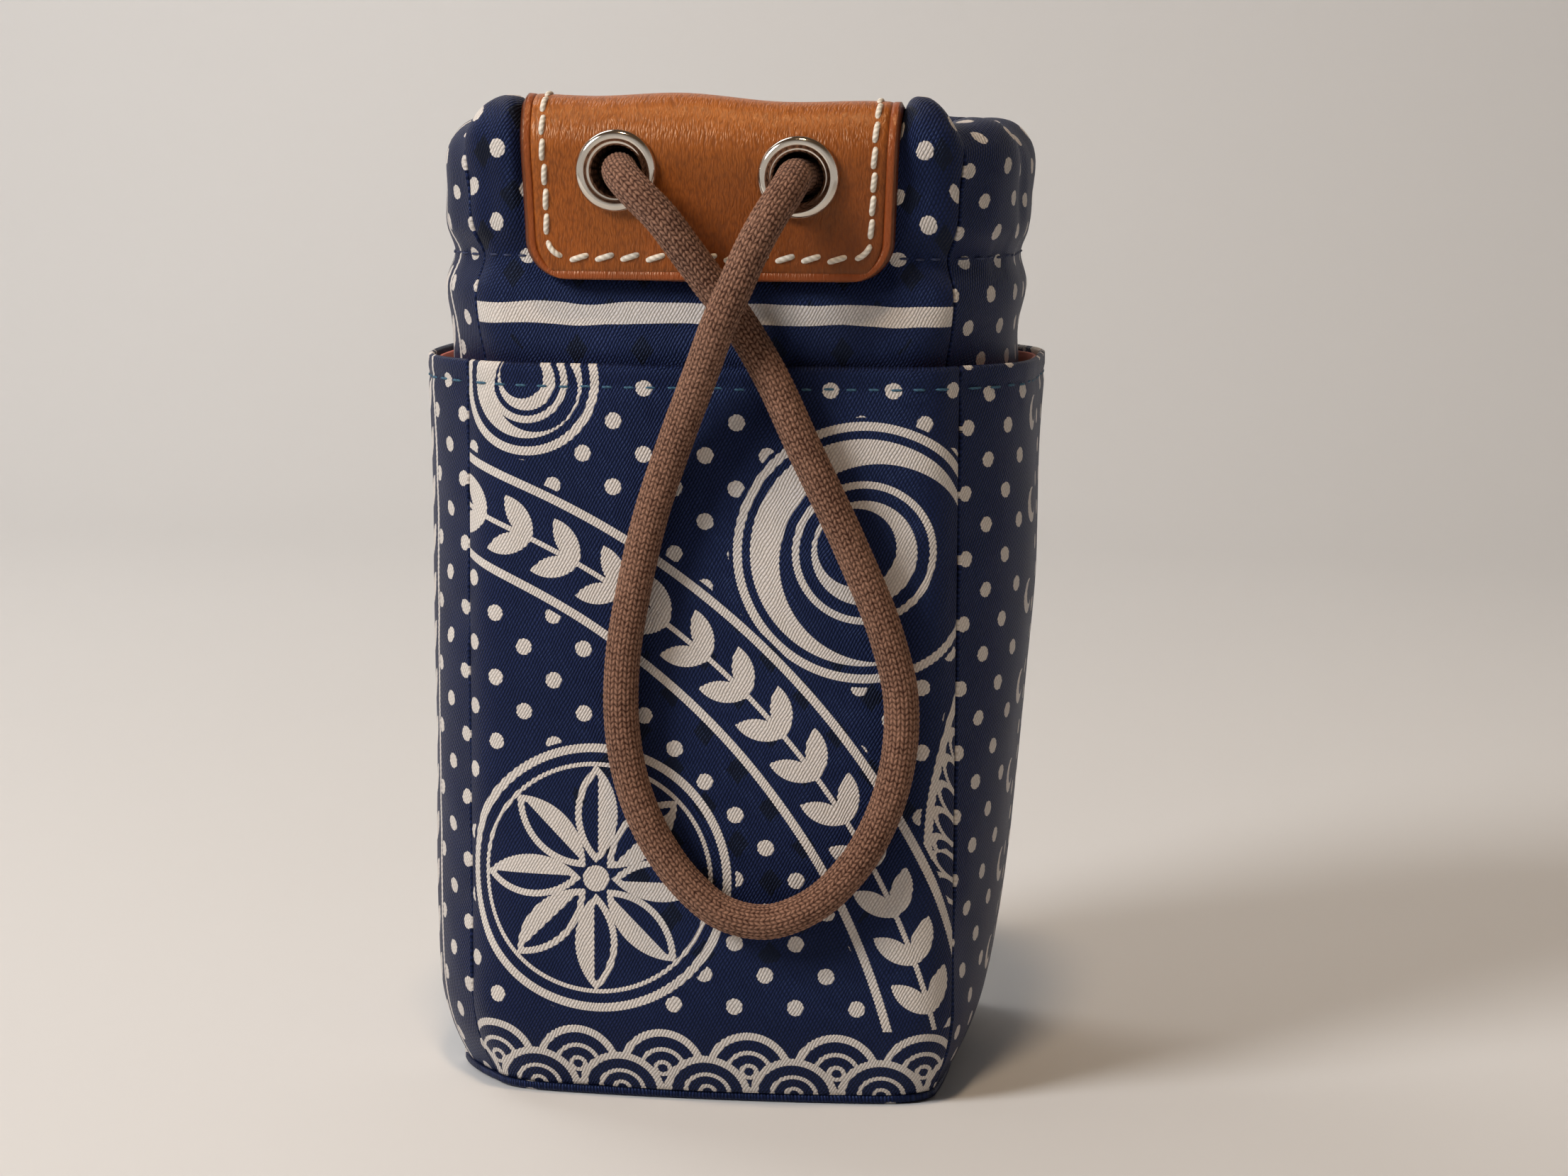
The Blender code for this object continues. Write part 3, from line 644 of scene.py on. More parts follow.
class Tab:
    """The leather's middle surface, so that stitches can be set on it."""

    def __init__(self):
        self.counts = [6, 6, 6] + [9, 9, 9, 12, 8, 8, 8, 8, 8, 8] + [6, 5, 5, 5]
        middle = smooth_sections(tab_rows(np.zeros(1)), self.counts)[..., 0]
        self.length = steps(middle[None], 1)[0]
        self.total = self.length[-1]

    def point(self, length, across):
        """The point at a length along the fold and metres across, on the middle of the leather."""
        length, across = np.atleast_1d(length), np.atleast_1d(across)
        rows = smooth_sections(tab_rows(across / SEAM_X), self.counts)
        inset, z = (
            np.array([np.interp(at, self.length, rows[:, k, i]) for i, at in enumerate(length)])
            for k in (0, 1)
        )
        return self.on_wall(length, across, inset, z)

    def on_wall(self, length, across, inset, z):
        """Points on the wall, with the fold's top rising and dipping and the gathers' pull on the leather."""
        z = z + 0.00055 * cloth_noise(303, across / 0.0125) * ease(0.120, 0.1275, z)
        waves = 0.00030 * cloth_noise(301, across / 0.011, length / 0.008)
        return wall("front", across / SEAM_X, inset, z, waves * near(across, 0.017))

    def build(self, material):
        even = np.linspace(-1, 1, 120)
        spread = np.sign(even) * (1 - (1 - abs(even)) ** 1.25)
        from_end = np.minimum(self.length, self.total - self.length)
        half = tab_half_width(from_end, self.total)
        mid = np.zeros((len(self.length), len(spread), 3))
        cloth = np.zeros_like(mid)
        index = np.arange(len(half))
        for j, place in enumerate(spread):
            across = place * half
            rows = smooth_sections(tab_rows(across / SEAM_X), self.counts)
            mid[:, j] = self.on_wall(self.length, across, rows[index, 0, index], rows[index, 1, index])
            edge = np.minimum(half - abs(across), from_end)
            cloth[:, j] = np.stack([across, self.length, edge], axis=-1) / MM
        # The crease pressed just inside the edge
        crease = near(cloth[..., 2] - CREASE_IN, 0.24) * CREASE_DEPTH
        mid_creased = mid - grid_normals(mid) * crease[..., None]
        tab = shell("leather_tab_dressed", mid_creased, LEATHER, material, cloth, 0.30, uncut(mid))
        return dress(tab, "leather_tab")


# Materials


class Field:
    """A number that varies over a surface. Arithmetic on it adds Math nodes."""

    def __init__(self, tree, socket):
        self.tree, self.socket = tree, socket

    def op(self, operation, *values, clamp=False):
        node = self.tree.nodes.new("ShaderNodeMath")
        node.operation, node.use_clamp = operation, clamp
        for place, value in zip(node.inputs, (self, *values)):
            connect(self.tree, value, place)
        return Field(self.tree, node.outputs[0])

    def __add__(self, other):
        return self.op("ADD", other)

    def __sub__(self, other):
        return self.op("SUBTRACT", other)

    def __mul__(self, other):
        return self.op("MULTIPLY", other)

    def __truediv__(self, other):
        return self.op("DIVIDE", other)

    __radd__, __rmul__ = __add__, __mul__

    def __rsub__(self, other):
        return self.op("MULTIPLY_ADD", -1.0, other)

    def __abs__(self):
        return self.op("ABSOLUTE")

    def inside(self, edge=0.05):
        """1 where this distance in millimetres is below 0."""
        return self.op("MULTIPLY_ADD", -1 / edge, 0.5, clamp=True)

    def line(self, width, edge=0.05):
        """1 on a line of this width where the distance is 0."""
        return abs(self).op("MULTIPLY_ADD", -1 / edge, 0.5 + width / 2 / edge, clamp=True)


def connect(tree, value, place):
    if isinstance(value, Field):
        tree.links.new(value.socket, place)
    elif isinstance(value, bpy.types.NodeSocket):
        tree.links.new(value, place)
    else:
        place.default_value = value


def vector_op(tree, operation, *values, output=0):
    node = tree.nodes.new("ShaderNodeVectorMath")
    node.operation = operation
    for place, value in zip(node.inputs, values):
        connect(tree, value, place)
    return node.outputs[output]


def split(tree, vector):
    """The three fields of a vector socket."""
    node = tree.nodes.new("ShaderNodeSeparateXYZ")
    connect(tree, vector, node.inputs[0])
    return [Field(tree, socket) for socket in node.outputs]


def joined(tree, x, y):
    """The plane of two fields."""
    node = tree.nodes.new("ShaderNodeCombineXYZ")
    connect(tree, x, node.inputs[0])
    connect(tree, y, node.inputs[1])
    return Paper(tree, node.outputs[0])


class Paper:
    """The plane a pattern is drawn on: a vector socket of millimetres, with its fields."""

    def __init__(self, tree, vector):
        self.tree, self.vector = tree, vector
        self.x, self.y, self.z = split(tree, vector)

    def op(self, operation, *values):
        return Paper(self.tree, vector_op(self.tree, operation, self.vector, *values))

    def moved(self, shift):
        return self.op("SUBTRACT", (*shift, 0.0))

    def repeat(self, pitch, shift=(0.0, 0.0)):
        """Wraps the plane into cells with the origin at each one's middle."""
        half = (pitch[0] / 2, pitch[1] / 2, 1000.0)
        return self.moved(shift).op("WRAP", half, tuple(-h for h in half))

    def radius(self, centre=(0.0, 0.0)):
        """Distance from a point."""
        return Field(self.tree, vector_op(self.tree, "DISTANCE", self.vector, (*centre, 0.0), output=1))

    def angle(self, centre):
        """Angle about a point, in radians."""
        off = self.moved(centre)
        return off.y.op("ARCTAN2", off.x)

    def turned(self, radians, centre=(0.0, 0.0)):
        """The plane with its axes turned anticlockwise about a point, which becomes the origin."""
        node = self.tree.nodes.new("ShaderNodeVectorRotate")
        node.rotation_type = "Z_AXIS"
        connect(self.tree, self.moved(centre).vector, node.inputs["Vector"])
        connect(self.tree, radians * -1.0, node.inputs["Angle"])
        return Paper(self.tree, node.outputs[0])

    def ring(self, centre, radius):
        """Millimetres along a circle and out from it."""
        return joined(self.tree, self.angle(centre) * radius, self.radius(centre) - radius)

    def sectors(self, centre, count):
        """Turns each of count equal sectors about a point onto the one along x."""
        step = 2 * math.pi / count
        return self.turned((self.angle(centre) / step).op("ROUND") * step, centre)


def union(*masks):
    return functools.reduce(lambda total, mask: total.op("MAXIMUM", mask), masks)


def both(*masks):
    return functools.reduce(lambda total, mask: total.op("MINIMUM", mask), masks)


def over(below, region, above):
    """The pattern above inside its region, and the one below elsewhere."""
    return below * (1.0 - region) + both(region, above)


def staggered(paper, pitch, measure):
    """The least that measure gives in two grids of cells, each set midway between the other's."""
    shifts = ((0.0, 0.0), (pitch[0] / 2, pitch[1] / 2))
    return both(*(measure(paper.repeat(pitch, shift)) for shift in shifts))


def dots(paper, pitch=(7.8, 8.3), size=1.05):
    """Staggered round dots."""
    return (staggered(paper, pitch, Paper.radius) - size).inside()


def crescent(paper, centre, outer, shift, inner):
    """A moon between a circle and a smaller one moved towards one side."""
    moved = (centre[0] + shift[0], centre[1] + shift[1])
    return both((paper.radius(centre) - outer).inside(), (inner - paper.radius(moved)).inside())


def leaf(paper, half_length, bend, outline=0.85):
    """A pointed leaf along x: (inside, lines) with an outline and one half filled."""
    radius = (half_length**2 + bend**2) / (2 * bend)
    off = radius - bend
    shape = paper.radius((0.0, off)).op("MAXIMUM", paper.radius((0.0, -off))) - radius
    lines = union(shape.line(outline), both(shape.inside(), (paper.y + 0.25).inside()))
    return (shape - outline / 2).inside(), lines


def twist(band, pitch, half_width):
    """A two-ply twist along a band: slanted lobes between its edges."""
    slant = band.x + band.y * 0.8
    cell = ((slant / pitch).op("FRACT") - 0.5) * pitch
    long, wide = 1.0 / (pitch * 0.47) ** 2, 1.0 / half_width**2
    lobe = (cell * cell * long + band.y * band.y * wide).op("SQRT") - 1.0
    return (lobe * (half_width * 0.7)).line(0.62)


def scallops(paper, base, radius):
    """Two rows of overlapping fans of concentric arcs on a line: (lines, region)."""
    result = None
    for lift, shift in ((radius * 0.62, radius), (0.0, 0.0)):
        out = paper.repeat((2 * radius, ENDLESS), (shift, base + lift)).radius()
        rings = ((out / (radius / 3)).op("FRACT") - 0.5) * (radius / 3)
        row = union((out - radius + 0.5).line(1.0), both(rings.line(0.6), (out - radius + 1.4).inside()))
        result = row if result is None else over(result, (out - radius).inside(), row)
    return result, (paper.y - (base + radius * 1.62 + 0.45)).inside()


def ribbon(pattern, paper, centre, radius, half_width, fill, *sizes):
    """Lays a curved ribbon over a pattern: two edge lines and what fill draws between them."""
    band = paper.ring(centre, radius)
    lines = union((abs(band.y) - (half_width - 0.55)).line(1.1), fill(band, *sizes))
    return over(pattern, (abs(band.y) - half_width - 0.6).inside(), lines)


def laurel(band, pitch, size):
    """A stem along a band and a pair of solid leaves slanting off it at each pitch."""
    cell = band.repeat((pitch, ENDLESS))
    folded = joined(band.tree, cell.x, abs(cell.y))
    side = folded.turned(LEAF_SLANT, (-pitch * 0.40, 0.25)).moved((size, 0.0))
    return union(leaf(side, size, size * 0.36)[0], band.y.line(0.65))


def disc(pattern, out, size, *marks):
    """Lays a disc over a pattern, with a rim line and marks; out is the distance from its middle."""
    return over(pattern, (out - size - 0.5).inside(), union((out - size + 0.6).line(1.1), *marks))


def rosette(pattern, paper, centre, size, petals):
    """A ringed disc with a wreath of leaves."""
    out = paper.radius(centre)
    reach = size - 5.2
    petal = paper.sectors(centre, petals).moved((reach / 2 + 2.2, 0.0))
    wreath = leaf(petal, reach / 2 - 0.4, reach * 0.19)[1]
    return disc(pattern, out, size, (out - size + 2.7).line(0.55), wreath, (out - 1.7).inside())


def moon(pattern, paper, centre, size, tilt=(1.9, -1.3)):
    """A disc of rings with crescents of light on them."""
    out = paper.radius(centre)
    large = crescent(paper, centre, size - 2.2, tilt, size - 4.0)
    small = crescent(paper, centre, size * 0.40, (-tilt[0] * 0.5, -tilt[1] * 0.5), size * 0.30)
    return disc(pattern, out, size, large, (out - size * 0.52).line(0.9), small)


def dark_diamonds(paper, centre, size, pattern):
    """Small diamonds in near-black within a disc, where the pattern leaves the ground bare."""
    shape = staggered(paper, (8.4, 9.6), lambda cell: abs(cell.x) * 1.25 + abs(cell.y)) - 1.9
    return both(shape.inside(), (paper.radius(centre) - size).inside(), 1.0 - pattern)


def leaf_band(paper, centre):
    """Dots beside a straight upright band of leaves."""
    band = paper.turned(math.pi / 2, centre)
    marks = union(laurel(band, 6.4, 2.2), (abs(band.y) - 4.8).line(0.8))
    return over(dots(paper, (7.4, 8.3), 1.0), (abs(band.y) - 5.4).inside(), marks)


def print_front(paper):
    """Dots under ribbons, two ringed moons, a rosette of leaves and fans along the foot."""
    pattern = ribbon(dots(paper), paper, (72.5, 33.0), 41.0, 3.8, twist, 3.2, 2.5)
    pattern = moon(pattern, paper, (20.0, 71.0), 16.5)
    pattern = moon(pattern, paper, (-23.0, 92.0), 9.5, (1.2, -1.0))
    pattern = ribbon(pattern, paper, (-60.0, -12.0), 92.0, 6.4, laurel, 6.8, 2.65)
    pattern = rosette(pattern, paper, (-14.0, 28.5), 17.5, 8)
    fans, foot = scallops(paper, 0.0, 5.6)
    return over(pattern, foot, fans), dark_diamonds(paper, (5.0, 40.0), 22.0, pattern)


def print_side(paper):
    """Columns of dots beside a straight band of leaves and a column of small moons."""
    cell = paper.repeat((ENDLESS, 12.0), (-9.0, 4.0))
    small = crescent(cell, (0.0, 0.0), 2.3, (0.9, 0.5), 1.7)
    return over(leaf_band(paper, (12.5, 0.0)), (abs(paper.x + 9.0) - 3.2).inside(), small), None


def print_back(paper):
    """The same kind of print as the front, cut from another place."""
    pattern = ribbon(dots(paper), paper, (52.0, 16.0), 56.0, 6.4, laurel, 6.8, 2.65)
    pattern = ribbon(pattern, paper, (-46.0, 84.0), 40.0, 4.4, twist, 3.6, 3.0)
    pattern = moon(pattern, paper, (16.0, 34.0), 15.5, (-1.7, -1.4))
    pattern = rosette(pattern, paper, (-17.0, 17.0), 15.0, 8)
    pattern = rosette(pattern, paper, (19.0, 82.0), 16.0, 6)
    return pattern, dark_diamonds(paper, (-14.0, 52.0), 13.0, pattern)


def print_upper_front(paper):
    """A plain stripe above the sleeve, and dots over the casing."""
    wave = (noise_field(paper.tree, paper.vector, 0.10, 1.0) - 0.5) * 1.6
    stripe = (abs(paper.y + wave - STRIPE_HEIGHT) - STRIPE_WIDTH / 2).inside()
    pattern = union(stripe, both(dots(paper), (DOTS_FROM - paper.y).inside()))
    return pattern, dark_diamonds(paper, (0.0, 120.0), 34.0, pattern)


def print_upper_side(paper):
    """The sides' band of leaves, going on over the casing, with dots beside it."""
    return leaf_band(paper, (12.5, 2.0)), None


def new_material(name):
    """A material with its tree, and the plane that the cloth attribute gives."""
    material = bpy.data.materials.new(name)
    material.use_nodes = True
    tree = material.node_tree
    node = tree.nodes.new("ShaderNodeAttribute")
    node.attribute_name = "cloth"
    return material, tree, Paper(tree, node.outputs["Vector"])


def set_shader(material, sockets):
    """Gives the shader's sockets their constants, fields and colours."""
    tree = material.node_tree
    for name, value in sockets.items():
        connect(tree, value, tree.nodes["Principled BSDF"].inputs[name])
    return material


def object_place(tree):
    return tree.nodes.new("ShaderNodeTexCoord").outputs["Object"]


def noise_field(tree, vector, scale, detail=2.0):
    node = tree.nodes.new("ShaderNodeTexNoise")
    node.inputs["Scale"].default_value = scale
    node.inputs["Detail"].default_value = detail
    tree.links.new(vector, node.inputs["Vector"])
    return Field(tree, node.outputs[0])


def mix_colour(tree, share, low, high):
    node = tree.nodes.new("ShaderNodeMix")
    node.data_type = "RGBA"
    connect(tree, share, node.inputs[0])
    for place, value in ((node.inputs[6], low), (node.inputs[7], high)):
        connect(tree, value if isinstance(value, bpy.types.NodeSocket) else (*value, 1.0), place)
    return node.outputs[2]


def bump(tree, height, distance, strength):
    """The normal of a relief whose distance is in metres."""
    node = tree.nodes.new("ShaderNodeBump")
    node.inputs["Strength"].default_value = strength
    node.inputs["Distance"].default_value = distance
    connect(tree, height, node.inputs["Height"])
    return node.outputs[0]


TWILL_ANGLE, TWILL_PITCH, TWILL_STITCH, LINING_PITCH = math.radians(61), 0.37, 0.62, 0.30
# Navy and cream, each from the grooves' painted shade to the ribs' painted highlight
NAVY_LOW, NAVY_HIGH = (0.0009, 0.0014, 0.0065), (0.0190, 0.0285, 0.1020)
CREAM_LOW, CREAM_HIGH = (0.46, 0.41, 0.36), (0.82, 0.77, 0.72)
BLACK_INK = (0.0035, 0.0035, 0.0060)


def twill_material(name, draw):
    """Fine steep twill with a print on it whose edges step from rib to rib."""
    material, tree, cloth = new_material(name)
    nx, ny = math.sin(TWILL_ANGLE), -math.cos(TWILL_ANGLE)
    # Yarns wander a little
    wander = (noise_field(tree, cloth.vector, 0.30, 1.0) - 0.5) * 0.6
    across = cloth.x * nx + cloth.y * ny + wander
    along = cloth.y * nx - cloth.x * ny
    rib_number = (across / TWILL_PITCH).op("FLOOR")
    phase = across / TWILL_PITCH - rib_number - 0.5
    rib = 1.0 - phase * phase * 4.0
    stitch = (along / TWILL_STITCH + rib_number * 0.37).op("FRACT") - 0.5
    yarn = 1.0 - stitch * stitch * 2.2
    height = rib * yarn
    # Print places drawn towards the middle of each rib, so that the print's edges step
    snap = phase * (-0.45 * TWILL_PITCH)
    edge_noise = (noise_field(tree, cloth.vector, 2.4, 1.0) - 0.5) * 0.06
    ink, black = draw(joined(tree, cloth.x + snap * nx + edge_noise, cloth.y + snap * ny))
    # Colour: painted highlights on the ribs and painted shade in the grooves, and the shade drifts slowly
    drift = noise_field(tree, cloth.vector, 0.09, 3.0)
    fleck = noise_field(tree, cloth.vector, 2.2, 2.0)
    shade = (height * 0.74 + fleck * 0.26 + drift * 0.24).op("ADD", -0.15, clamp=True)
    ground = mix_colour(tree, shade * shade, NAVY_LOW, NAVY_HIGH)
    if black is not None:
        ground = mix_colour(tree, black, ground, BLACK_INK)
    figure = mix_colour(tree, shade, CREAM_LOW, CREAM_HIGH)
    return set_shader(material, {
        "Base Color": mix_colour(tree, ink, ground, figure),
        "Roughness": 0.44,
        "Specular IOR Level": 0.28,
        "Specular Tint": (0.30, 0.46, 1.0, 1.0),
        "Sheen Weight": 0.02,
        "Sheen Roughness": 0.45,
        "Sheen Tint": (0.55, 0.68, 1.0, 1.0),
        "Normal": bump(tree, height + fleck * 0.35, 0.00012, 0.8),
    })


def lining_material():
    """Close plain weave in orange-red."""
    material, tree, cloth = new_material("Orange-red lining weave")
    turns = 2 * math.pi / LINING_PITCH
    weave = (cloth.x * turns).op("SINE") * (cloth.y * turns).op("SINE") * 0.5 + 0.5
    drift = noise_field(tree, cloth.vector, 0.15, 3.0)
    # Colour: the weave's raised crossings lighter and its hollows darker, as painted light and shade, with a
    # slow drift of tone
    return set_shader(material, {
        "Base Color": mix_colour(tree, weave * 0.6 + drift * 0.4, (0.40, 0.055, 0.025), (0.78, 0.165, 0.080)),
        "Roughness": 0.68,
        "Sheen Weight": 0.15,
        "Normal": bump(tree, weave, 0.00005, 0.7),
    })


def leather_material():
    """Tan vegetable leather: fine grain drawn out along the fold, with painted shade in its hollows, patina,
    painted light towards the top and painted shade towards the lower right, and a dark burnished edge.
    """
    material, tree, cloth = new_material("Tan grained leather")
    flat = cloth.op("MULTIPLY", (1.0, 1.0, 0.0)).vector
    bend = (noise_field(tree, flat, 0.8, 1.0) - 0.5) * 0.5
    swayed = joined(tree, (cloth.x + bend) * 4.6, cloth.y * 1.25).vector
    cells = tree.nodes.new("ShaderNodeTexVoronoi")
    cells.feature = "SMOOTH_F1"
    cells.inputs["Scale"].default_value = 1.0
    cells.inputs["Smoothness"].default_value = 0.35
    connect(tree, swayed, cells.inputs["Vector"])
    pebble = 1.0 - Field(tree, cells.outputs["Distance"])
    fine = noise_field(tree, swayed, 1.6, 2.0)
    pores = noise_field(tree, flat, 2.4, 4.0)
    patina = noise_field(tree, flat, 0.075, 3.0)
    # Grain tone and patina, with the raised grain a little lighter as painted light
    shade = (pebble * 0.30 + fine * 0.25 + patina * 0.95).op("ADD", -0.43, clamp=True)
    body = mix_colour(tree, shade, (0.200, 0.044, 0.0060), (0.430, 0.122, 0.018))
    # Painted light: lighter from partway up the front of the tab on over its fold, where the light falls on
    # the top
    body = mix_colour(tree, (cloth.y * 0.055).op("ADD", -0.66, clamp=True) * 0.7, body, (0.530, 0.168, 0.028))
    # Painted shade in the hollows of the grain
    painted_grain_shade = (0.50 - pebble * 0.5 - fine * 0.35).op("MULTIPLY", 4.0, clamp=True)
    body = mix_colour(tree, painted_grain_shade * 0.45, body, (0.110, 0.024, 0.004))
    # Painted shade, darker towards the lower right of the front, with random patina in it
    painted_shade_and_patina = (cloth.x * 0.020 - cloth.y * 0.030 + patina * 0.9).op("ADD", 0.02, clamp=True)
    body = mix_colour(tree, painted_shade_and_patina * 0.9, body, (0.125, 0.026, 0.0055))
    rim = (cloth.z - 0.80).inside(0.20)
    crease = (cloth.z - CREASE_IN).line(0.46, 0.16)
    cut = (cloth.z - 0.16).inside(0.20)
    colour = mix_colour(tree, rim * 0.75, body, (0.255, 0.056, 0.014))
    colour = mix_colour(tree, crease * 0.95, colour, (0.018, 0.005, 0.003))
    colour = mix_colour(tree, cut * 0.8, colour, (0.070, 0.016, 0.006))
    return set_shader(material, {
        "Base Color": colour,
        "Roughness": pores * 0.18 + 0.27,
        "Specular IOR Level": 0.5,
        "Specular Tint": (1.0, 0.76, 0.52, 1.0),
        "Normal": bump(tree, pebble * 0.9 + fine * 0.5, 0.00009, 0.8),
    })


def metal_material():
    """Polished nickel, a little dull where hands have worn it."""
    material, tree, _ = new_material("Polished nickel")
    smudge = noise_field(tree, object_place(tree), 420.0, 3.0)
    return set_shader(material, {
        "Base Color": mix_colour(tree, smudge, (0.54, 0.48, 0.41), (0.70, 0.65, 0.58)),
        "Metallic": 1.0,
        "Roughness": smudge * 0.10 + 0.06,
    })


def cord_material():
    """Braided cotton: rounded picks in columns, with painted light on them and painted shade between them,
    and a fine pale fuzz.
    """
    material, tree, cloth = new_material("Brown cotton braid")
    where = object_place(tree)
    noises = ((4200.0, 3.0), (1100.0, 2.0), (90.0, 2.0))
    fibres, fleck, drift = (noise_field(tree, where, scale, detail) for scale, detail in noises)
    sway = (fleck - 0.5) * 0.45
    column = cloth.x.op("FLOOR")
    across = cloth.x - column - 0.5
    way = 1.0 - (column * 0.5).op("FRACT") * 4.0
    pick = (cloth.y / (BRAID_PICK / MM) + way * across * BRAID_SLANT + sway).op("FRACT") - 0.5
    height = (1.0 - across * across * PICK_ACROSS) * (1.0 - pick * pick * PICK_ALONG)
    # Painted light on the picks and painted shade between them, with fibres, flecks and a slow drift of tone
    shade = (height * 0.56 + fibres * 0.60 + fleck * 0.50 + drift * 0.24).op("ADD", -0.68, clamp=True)
    return set_shader(material, {
        "Base Color": mix_colour(tree, shade, (0.040, 0.012, 0.006), (0.550, 0.305, 0.205)),
        "Roughness": 0.85,
        "Specular IOR Level": 0.15,
        "Sheen Weight": 0.08,
        "Sheen Roughness": 0.6,
        "Sheen Tint": (1.0, 0.80, 0.68, 1.0),
        "Normal": bump(tree, height * 0.8 + fibres * 1.1, 0.00014, 0.9),
    })


def thread_material(name, low, high, roughness=0.7):
    """Twisted thread: two plies wound round each other."""
    material, tree, cloth = new_material(name)
    plies = (cloth.y * 9.0 + cloth.x * 2.2).op("SINE") * 0.5 + 0.5
    fleck = noise_field(tree, cloth.vector, 3.0, 2.0)
    # Colour: the plies' crowns lighter and the grooves between them darker, as painted light and shade, with
    # random flecks
    return set_shader(material, {
        "Base Color": mix_colour(tree, plies * 0.6 + fleck * 0.4, low, high),
        "Roughness": roughness,
        "Normal": bump(tree, plies, 0.00006, 0.8),
    })


BACKDROP, CEILING = (0.62, 0.59, 0.56), (0.090, 0.062, 0.040)


def background_ray(tree):
    """1 for what the camera sees directly, in a reflection or through a clear thing."""
    path = tree.nodes.new("ShaderNodeLightPath")
    camera, glossy, through = (
        Field(tree, path.outputs[f"Is {kind} Ray"]) for kind in ("Camera", "Glossy", "Transmission")
    )
    return (camera + glossy).op("ADD", through, clamp=True)


def floor_material():
    """Pale warm paper-like floor."""
    material, tree, _ = new_material("Pale floor")
    where = object_place(tree)
    cloud = noise_field(tree, where, 3.0, 2.0)
    # Far to the sides and the front the lamps fall off, so there the floor keeps its paleness by itself
    x, y, _ = split(tree, where)
    away = abs(x).op("MAXIMUM", y * -1.0)
    far = away.op("MULTIPLY_ADD", 0.95, -0.40, clamp=True) * 0.8
    return set_shader(material, {
        "Base Color": mix_colour(tree, cloud, (0.675, 0.675, 0.675), (0.715, 0.715, 0.715)),
        "Emission Color": (*BACKDROP, 1.0),
        "Emission Strength": far * background_ray(tree),
        "Roughness": 0.9,
        "Specular IOR Level": 0.1,
    })


# Metal rings


def turned(name, profile, material, centre, segments=128):
    """A ring turned about the axis that faces the front, from a closed (radius, forward) profile."""
    angle = np.linspace(0, 2 * math.pi, segments, endpoint=False)
    radius, forward = (np.array(profile)[:, k, None] for k in (0, 1))
    x, z = centre[0] + radius * np.cos(angle), centre[2] + radius * np.sin(angle)
    points = np.stack([x, np.broadcast_to(centre[1] - forward, x.shape), z], axis=-1)
    count = len(profile) * segments
    round_faces = grid_faces(len(profile) + 1, segments, wrap=True)
    faces = [tuple(k % count for k in (a, d, c, b)) for a, b, c, d in round_faces]
    return mesh_object(name, points, faces, material)


def rounded(profile, count=5):
    """A closed profile with more points on a smooth curve through it."""
    points = [np.array(p)[:, None] for p in profile]
    closed = points[-2:] + points + points[:3]
    rows = smooth_sections(closed, [count] * (len(closed) - 1))[..., 0]
    return [tuple(p) for p in rows[2 * count : 2 * count + len(points) * count]]


def eyelet_depth():
    return LEATHER + LAYER_GAP + CLOTH + EYELET_SEAT


def add_eyelets(material, leather_y):
    throat, barrel = EYELET_HOLE, EYELET_HOLE + EYELET_WALL
    lip, foot = eyelet_depth() + WASHER + LAYER_GAP, EYELET_SEAT
    top, rim = foot + EYELET_HEIGHT, EYELET_OUTER - throat
    flange = [
        (throat, foot - 0.0004),
        (throat + 0.03 * rim, foot),
        (throat + 0.14 * rim, foot + 0.00030),
        (throat + 0.26 * rim, foot + 0.00036),
        (throat + 0.33 * rim, foot + 0.00044),
        (throat + 0.42 * rim, top - 0.00010),
        (throat + 0.58 * rim, top),
        (throat + 0.80 * rim, top - 0.00010),
        (EYELET_OUTER - 0.00010, foot + 0.00048),
        (EYELET_OUTER, foot + 0.0001),
        (EYELET_OUTER - 0.0001, foot - 0.00003),
        (EYELET_OUTER - 0.0008, foot),
        (barrel + 0.0003, foot),
        (barrel, foot - 0.0003),
        (barrel, -lip),
        (barrel + 0.0008, -lip - 0.0001),
        (barrel + 0.0008, -lip - 0.0004),
        (throat + 0.0006, -lip - 0.0003),
        (throat, -lip + 0.0008),
    ]
    hole, front = barrel + LAYER_GAP, -eyelet_depth()
    washer = [(hole, front), (WASHER_OUTER, front), (WASHER_OUTER, front - WASHER), (hole, front - WASHER)]
    for side, x in (("left", -EYELET_X), ("right", EYELET_X)):
        centre = (x, leather_y, eyelet_z(x))
        ring = turned(f"eyelet_{side}_polished", rounded(flange), material, centre)
        dress(ring, f"eyelet_{side}")
        back = turned(f"eyelet_washer_{side}_polished", washer, material, centre, 64)
        dress(back, f"eyelet_washer_{side}")


# Threads


